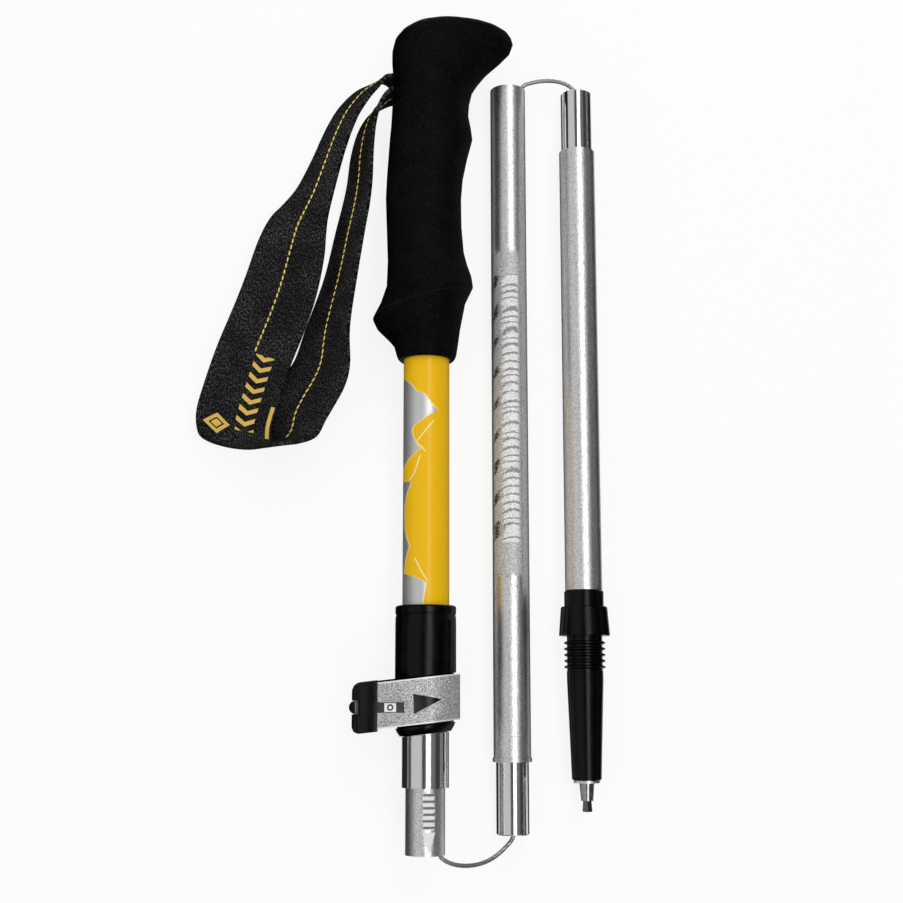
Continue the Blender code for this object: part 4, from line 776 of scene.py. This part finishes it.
def settle(obj):
    """Leaves the object at the origin, unturned and unscaled, with its place in its mesh."""
    select(obj)
    bpy.ops.object.transform_apply(location=True, rotation=True, scale=True)


def add_modifier(obj, kind, name, **settings):
    modifier = obj.modifiers.new(name, kind)
    for key, value in settings.items():
        setattr(modifier, key, value)
    return modifier


def apply_all(obj):
    select(obj)
    for modifier in list(obj.modifiers):
        bpy.ops.object.modifier_apply(modifier=modifier.name)


def dress(obj, shade_name, body, angle):
    """Gives a new piece its finish, smooth faces and the body that it rides on."""
    obj.data.materials.clear()
    obj.data.materials.append(SHADES[shade_name])
    select(obj)
    bpy.ops.object.shade_smooth_by_angle(angle=math.radians(angle))
    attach(obj, body)
    return obj


def route(points, steps):
    """Points on the smooth curve through a list of number rows."""
    rows = [Vector(p) for p in points]
    padded = [2 * rows[0] - rows[1], *rows, 2 * rows[-1] - rows[-2]]
    found = []
    for i in range(1, len(padded) - 2):
        for k in range(steps):
            found.append(between(padded[i - 1:i + 3], k / steps))
    found.append(rows[-1])
    return found


def between(four, t):
    """The smooth curve through four values, a share t of the way from the second to the third."""
    a, b, c, d = four
    return 0.5 * ((2 * b) + (c - a) * t + (2 * a - 5 * b + 4 * c - d) * t * t
                  + (3 * b - a - 3 * c + d) * t * t * t)


def strap_frames(steps):
    """Centre, unit width vector, half width and face normal at even parameters round the loop."""
    rows = [Vector((STRAP_PIN.x + x, STRAP_PIN.y + y, z + SURFACE_Z, heading, tilt, half))
            for x, y, z, heading, tilt, half in STRAP_STATIONS]
    radius = STRAP_PIN_RADIUS + PIN_SEAT + STRAP_THICK / 2
    half = rows[-1][5]
    for i in range(STRAP_WRAP_POINTS):
        turn = math.radians(-90 + 180 * i / (STRAP_WRAP_POINTS - 1))
        rows.append(Vector((STRAP_PIN.x + radius * math.cos(turn), STRAP_PIN.y + radius * math.sin(turn),
                            STRAP_PIN.z, -90, 90, half)))
    count = len(rows)
    dense = [between([rows[(i + k) % count] for k in (-1, 0, 1, 2)], step / steps)
             for i in range(count) for step in range(steps)]
    frames = []
    for i, row in enumerate(dense):
        along = Vector(dense[(i + 1) % len(dense)][:3]) - Vector(dense[i - 1][:3])
        heading, tilt = math.radians(row[3]), math.radians(row[4])
        width = Vector((math.cos(tilt) * math.cos(heading), math.cos(tilt) * math.sin(heading),
                        math.sin(tilt)))
        frames.append((Vector(row[:3]), width, row[5], along.cross(width).normalized()))
    return frames


# Operators

class POLE_OT_finishes(bpy.types.Operator):
    """Gives each solid of the pole its finish and smooth, softened edges"""

    bl_idname = "pole.finishes"
    bl_label = "Finishes"

    slots = {
        "grip_foam": "grip_foam", "strap_anchor": "anchor_black", "strap_pin": "steel",
        "handle_tube": "yellow_paint", "handle_tube_plug": "black_plastic",
        "clamp_body": "black_plastic", "clamp_bolt": "black_plastic", "tension_nut": "black_plastic",
        "lever_pivot_pin": "black_plastic", "lever_core": "lever_black", "lever_cover": "lever_silver",
        "cam_plate": "steel", "extension_tube": "satin_aluminium", "extension_bush": "natural_plastic",
        "extension_end_sleeve": "polished_aluminium", "lower_tube": "etched_lower",
        "lower_tube_bush": "natural_plastic", "cord_anchor": "steel", "snap_button": "steel",
        "button_spring": "steel", "lower_cord_run": "cord_steel", "middle_tube": "etched_middle",
        "middle_end_ring": "satin_aluminium", "middle_ferrule": "polished_aluminium",
        "middle_grommet": "black_plastic", "middle_cord_run": "cord_steel",
        "tip_tube": "satin_aluminium", "tip_ferrule": "polished_aluminium",
        "tip_grommet": "black_plastic", "tip_cord_run": "cord_steel", "cord_plug": "natural_plastic",
        "cord_end_crimp": "steel", "tip_sleeve": "black_plastic", "tip_washer": "satin_aluminium",
        "tip_holder": "dark_steel", "carbide_point": "carbide",
    }
    softened = {"lever_cover": 0.00022, "clamp_body": 0.00020, "lever_core": 0.00040}

    def execute(self, context):
        colours = context.scene.pole_colours
        sizes = context.scene.pole_sizes
        foam_shade(colours)
        black_shade(colours)
        black_shade(colours, "anchor_black", 0.03)
        lever_core_shade(colours)
        webbing_shade(colours, sizes)
        thread_shade(colours)
        paint_shade(colours)
        satin_shade(colours)
        scale_shade(colours)
        stop_shade(colours)
        polished_shade()
        lever_shade(colours)
        steel_shade("steel", 0.55, 0.28)
        steel_shade("dark_steel", 0.40, 0.22)
        steel_shade("carbide", 0.16, 0.30)
        steel_shade("cord_steel", 0.42, 0.38)
        natural_shade()
        for name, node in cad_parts.items():
            if name not in self.slots:
                continue
            node.data.materials.clear()
            node.data.materials.append(SHADES[self.slots[name]])
            for face in node.data.polygons:
                face.use_smooth = True
                face.material_index = 0
            add_modifier(node, "WELD", "join_facets", merge_threshold=JOIN_DISTANCE)
            if name in self.softened:
                add_modifier(node, "DECIMATE", "flat_faces", decimate_type="DISSOLVE",
                             angle_limit=math.radians(FLAT_ANGLE))
                add_modifier(node, "BEVEL", "soft_edges", width=self.softened[name], segments=2,
                             limit_method="ANGLE", angle_limit=math.radians(SOFT_ANGLE))
            add_modifier(node, "EDGE_SPLIT", "crisp_edges", split_angle=math.radians(CRISP_ANGLE))
        return {"FINISHED"}


class POLE_OT_strap(bpy.types.Operator):
    """Weaves the wrist strap: one ribbon round the anchor pin, out along one leg and back"""

    bl_idname = "pole.strap"
    bl_label = "Wrist strap"

    def execute(self, context):
        frames = strap_frames(WEB_STEPS)
        deselect()
        bpy.ops.mesh.primitive_grid_add(x_subdivisions=WEB_COLUMNS, y_subdivisions=len(frames), size=1.0)
        strap = bpy.context.object
        strap.name = "webbing_strap"
        lengths = [0.0]
        for first, second in zip(frames, [*frames[1:], frames[0]]):
            lengths.append(lengths[-1] + (second[0] - first[0]).length)
        places = {}
        for vertex in strap.data.vertices:
            column = round((vertex.co.x + 0.5) * WEB_COLUMNS)
            row = round((vertex.co.y + 0.5) * len(frames))
            places[vertex.index] = (column, row)
            centre, width, half, _ = frames[row % len(frames)]
            vertex.co = centre + width * half * (2 * column / WEB_COLUMNS - 1)
        uv = strap.data.uv_layers.active.data
        for loop in strap.data.loops:
            column, row = places[loop.vertex_index]
            half = frames[row % len(frames)][2]
            uv[loop.index].uv = (half * (2 * column / WEB_COLUMNS - 1) + WEB_CENTRE, lengths[row])
        add_modifier(strap, "WELD", "close_loop", merge_threshold=JOIN_DISTANCE)
        add_modifier(strap, "SOLIDIFY", "thickness", thickness=WEB_THICK, offset=0.0)
        add_modifier(strap, "BEVEL", "soft_selvedge", width=SELVEDGE, segments=2, limit_method="ANGLE",
                     angle_limit=math.radians(50))
        apply_all(strap)
        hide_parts("wrist_strap")
        dress(strap, "webbing", "strap", angle=50)
        return {"FINISHED"}


class POLE_OT_stitching(bpy.types.Operator):
    """Sews the line of yellow stitches down the middle of both legs, on both faces"""

    bl_idname = "pole.stitching"
    bl_label = "Stitching"

    def execute(self, context):
        sizes = context.scene.pole_sizes
        frames = strap_frames(STITCH_STEPS)
        stitches = []
        for start, end in (UPPER_STITCHES, LOWER_STITCHES):
            walked, i = 0.0, round(start * STITCH_STEPS)
            while i < round(end * STITCH_STEPS):
                step = (frames[i + 1][0] - frames[i][0]).length
                if walked >= sizes.stitch + sizes.stitch_gap:
                    stitches.append(i)
                    walked = 0.0
                walked += step
                i += 1
        pieces = [self.stitch(frames, i, side, sizes) for i in stitches for side in (-1, 1)]
        deselect()
        for piece in pieces:
            piece.select_set(True)
        bpy.context.view_layer.objects.active = pieces[0]
        bpy.ops.object.join()
        seam = bpy.context.object
        seam.name = "strap_stitches"
        settle(seam)
        dress(seam, "yellow_thread", "strap", angle=80)
        return {"FINISHED"}

    def stitch(self, frames, i, side, sizes):
        """One stitch: a flattened bead that lies along the webbing, on one of its faces."""
        centre, _, _, normal = frames[i]
        along = (frames[(i + 1) % len(frames)][0] - frames[i - 1][0]).normalized()
        place = centre + normal * side * STITCH_RISE
        axes = Matrix((along, normal.cross(along), normal)).transposed().to_4x4()
        bpy.ops.mesh.primitive_uv_sphere_add(segments=8, ring_count=6, radius=1.0)
        stitch = bpy.context.object
        halves = (sizes.stitch / 2, sizes.thread / 2, sizes.thread * STITCH_FLAT, 1)
        stitch.data.transform(Matrix.Diagonal(halves))
        stitch.data.transform(Matrix.Rotation(math.radians(STITCH_LEAN), 4, "Z"))
        stitch.data.transform(Matrix.Translation(place) @ axes)
        return stitch


class POLE_OT_cords(bpy.types.Operator):
    """Lays the two bare stretches of steel cord, twisted from six strands"""

    bl_idname = "pole.cords"
    bl_label = "Cords"

    def execute(self, context):
        sizes = context.scene.pole_sizes
        lower = self.lay("lower_cord", LOWER_ARC, "lower_cord_arc", "lower_link", sizes)
        upper = self.lay("upper_cord", UPPER_ARC, "upper_cord_arc", "upper_link", sizes)
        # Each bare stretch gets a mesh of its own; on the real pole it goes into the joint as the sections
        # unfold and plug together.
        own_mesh(lower)
        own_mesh(upper)
        return {"FINISHED"}

    def outline(self, radius, strands):
        """The cord's outline across, with a groove between each two strands."""
        deselect()
        bpy.ops.mesh.primitive_circle_add(vertices=strands * STRAND_SIDES, radius=radius)
        outline = bpy.context.object
        for i, vertex in enumerate(outline.data.vertices):
            swell = abs(math.cos(math.pi * i / STRAND_SIDES))
            vertex.co *= 1 - GROOVE_DEPTH * (1 - swell)
        select(outline)
        bpy.ops.object.convert(target="CURVE")
        return outline

    def lay(self, name, points, node, body, sizes):
        """One bare stretch of cord along its arc, twisted as it goes."""
        path = route(points, CORD_STEPS)
        radius = sizes.cord / 2
        outline = self.outline(radius, sizes.cord_strands)
        curve = bpy.data.curves.new(name, "CURVE")
        curve.dimensions = "3D"
        curve.bevel_mode = "OBJECT"
        curve.bevel_object = outline
        curve.use_fill_caps = True
        curve.twist_mode = "MINIMUM"
        spline = curve.splines.new("POLY")
        spline.points.add(len(path) - 1)
        walked = 0.0
        for i, (point, place) in enumerate(zip(spline.points, path)):
            if i:
                walked += (place - path[i - 1]).length
            point.co = (*place, 1.0)
            point.tilt = walked / (radius * HALF_TURN) * math.pi
        cord = bpy.data.objects.new(name, curve)
        bpy.context.scene.collection.objects.link(cord)
        select(cord)
        bpy.ops.object.convert(target="MESH")
        cord = bpy.context.object
        bpy.data.objects.remove(outline, do_unlink=True)
        select(cord)
        bpy.ops.object.mode_set(mode="EDIT")
        bpy.ops.mesh.select_all(action="SELECT")
        bpy.ops.mesh.remove_doubles(threshold=JOIN_DISTANCE)
        bpy.ops.mesh.normals_make_consistent(inside=False)
        bpy.ops.object.mode_set(mode="OBJECT")
        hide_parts(node)
        return dress(cord, "cord_steel", body, angle=60)


class POLE_OT_stage(bpy.types.Operator):
    """Lays the floor and sets the lamps, the world and the camera"""

    bl_idname = "pole.stage"
    bl_label = "Studio"

    def execute(self, context):
        sizes = context.scene.pole_sizes
        colours = context.scene.pole_colours
        self.camera(context, sizes)
        self.floor(colours)
        self.world()
        self.lamps()
        self.flag("left_flag", HANDLE.x - FLAG_GAP - FLAG_WIDTH, HANDLE.x - FLAG_GAP)
        self.flag("near_flag", HANDLE.x + FLAG_RIM, MIDDLE.x - FLAG_RIM)
        self.flag("far_flag", MIDDLE.x + FLAG_RIM, TIP.x - FLAG_RIM)
        self.flag("right_flag", TIP.x + FLAG_GAP, TIP.x + FLAG_GAP + FLAG_WIDTH)
        context.scene.view_settings.view_transform = "Standard"
        return {"FINISHED"}

    def floor(self, colours):
        """A wide pale floor just under the pole."""
        shade = Shade("studio_floor", roughness=0.9)
        shade.colour(colours.floor)
        self.glow(shade)
        deselect()
        bpy.ops.mesh.primitive_plane_add(size=FLOOR_SIZE, location=(0, 0, SURFACE_Z - FLOOR_DROP))
        floor = bpy.context.object
        floor.name = "studio_floor"
        floor.data.materials.append(shade.material)

    def glow(self, shade):
        """Mixes in plain white where the camera looks, and some of it where a reflection does."""
        camera = shade.node("LightPath", output="Is Camera Ray")
        glossy = shade.node("LightPath", output="Is Glossy Ray")
        white = shade.tree.nodes.new("ShaderNodeEmission")
        white.inputs["Strength"].default_value = 1.0
        white.inputs["Color"].default_value = (1, 1, 1, 1)
        mixed = shade.tree.nodes.new("ShaderNodeMixShader")
        shade.feed(mixed.inputs["Fac"], (camera * WHITE_SHARE).most(glossy * WHITE_IN_GLOSS))
        shade.tree.links.new(shade.bsdf.outputs[0], mixed.inputs[1])
        shade.tree.links.new(white.outputs[0], mixed.inputs[2])
        shade.tree.links.new(mixed.outputs[0], shade.out.inputs["Surface"])

    def world(self):
        """An even sky: the camera sees it white, and gloss sees a dark room with the lamps in it."""
        world = bpy.data.worlds.new("studio_world")
        bpy.context.scene.world = world
        world.use_nodes = True
        tree = world.node_tree
        sky = tree.nodes["Background"]
        sky.inputs["Color"].default_value = (1, 1, 1, 1)
        sky.inputs["Strength"].default_value = SKY_STRENGTH
        path = tree.nodes.new("ShaderNodeLightPath")
        seen = sky
        for ray, strength in (("Is Glossy Ray", ROOM_STRENGTH), ("Is Camera Ray", 1.0)):
            other = tree.nodes.new("ShaderNodeBackground")
            other.inputs["Color"].default_value = (1, 1, 1, 1)
            other.inputs["Strength"].default_value = strength
            mixed = tree.nodes.new("ShaderNodeMixShader")
            tree.links.new(path.outputs[ray], mixed.inputs[0])
            tree.links.new(seen.outputs[0], mixed.inputs[1])
            tree.links.new(other.outputs[0], mixed.inputs[2])
            seen = mixed
        tree.links.new(seen.outputs[0], tree.nodes["World Output"].inputs["Surface"])

    def lamps(self):
        """A bright strip right of overhead, softboxes all round and a thin strip low on the right."""
        self.lamp("right_strip", 15, 0.38, 3.8)
        self.lamp("left_softbox", -44, 1.40, 0.54)
        self.lamp("right_softbox", 39, 0.55, 0.10)
        self.lamp("right_edge_strip", 81, 0.03, 1.2)
        self.lamp("head_softbox", 0, 0.9, 1.5, pitch=52, length=0.5)

    def lamp(self, name, turn, width, glow, pitch=0, length=LAMP_LENGTH):
        """A lamp of a given brightness, swung to the right and towards the head by so many degrees."""
        data = bpy.data.lights.new(name, "AREA")
        data.shape = "RECTANGLE"
        data.size = width
        data.size_y = length
        data.energy = glow * math.pi * width * length
        lamp = bpy.data.objects.new(name, data)
        swing = Matrix.Rotation(math.radians(turn), 4, "Y") @ Matrix.Rotation(math.radians(-pitch), 4, "X")
        lamp.location = LAMP_MIDDLE + LAMP_DISTANCE * (swing @ Vector((0, 0, 1)))
        lamp.rotation_euler = swing.to_euler()
        lamp.visible_camera = False
        bpy.context.scene.collection.objects.link(lamp)

    def flag(self, name, left, right):
        """A black cloth on the floor that only reflections see; it draws the tubes' dark edges."""
        shade = Shade(name, roughness=1.0, Specular_IOR_Level=0.0)
        shade.colour(grey(FLAG_TONE))
        deselect()
        middle = ((left + right) / 2, 0, SURFACE_Z - FLAG_DROP)
        bpy.ops.mesh.primitive_plane_add(size=1.0, location=middle)
        flag = bpy.context.object
        flag.name = name
        flag.scale = (right - left, FLAG_LENGTH, 1.0)
        flag.data.materials.append(shade.material)
        flag.visible_camera = False
        flag.visible_diffuse = False
        flag.visible_shadow = False

    def camera(self, context, sizes):
        """The photograph's camera, leaning back a little from straight above."""
        tilt = sizes.camera_tilt
        data = bpy.data.cameras.new("photo_camera")
        data.lens = CAMERA_LENS
        data.sensor_width = CAMERA_SENSOR
        camera = bpy.data.objects.new("photo_camera", data)
        back = Vector((0, -math.sin(tilt), math.cos(tilt)))
        camera.location = CAMERA_TARGET + sizes.camera_height * back
        camera.rotation_euler = (tilt, 0, 0)
        context.scene.collection.objects.link(camera)
        context.scene.camera = camera


class POLE_PT_panel(bpy.types.Panel):
    """Lists the pole's steps and settings"""

    bl_label = "Trekking pole"
    bl_idname = "POLE_PT_panel"
    bl_space_type = "VIEW_3D"
    bl_region_type = "UI"
    bl_category = "Pole"

    def draw(self, context):
        for name in STEPS:
            self.layout.operator("pole." + name)
        for group in (context.scene.pole_sizes, context.scene.pole_colours):
            for prop in group.bl_rna.properties:
                if prop.identifier not in ("rna_type", "name"):
                    self.layout.prop(group, prop.identifier)


STEPS = ("finishes", "strap", "stitching", "cords", "stage")
CLASSES = (PoleSizes, PoleColours, POLE_OT_finishes, POLE_OT_strap, POLE_OT_stitching, POLE_OT_cords,
           POLE_OT_stage, POLE_PT_panel)


def register():
    for cls in CLASSES:
        bpy.utils.register_class(cls)
    bpy.types.Scene.pole_sizes = PointerProperty(type=PoleSizes)
    bpy.types.Scene.pole_colours = PointerProperty(type=PoleColours)


def unregister():
    del bpy.types.Scene.pole_sizes
    del bpy.types.Scene.pole_colours
    for cls in reversed(CLASSES):
        bpy.utils.unregister_class(cls)


def main():
    """Takes every step."""
    register()
    for name in STEPS:
        getattr(bpy.ops.pole, name)()


if __name__ == "__main__":
    main()
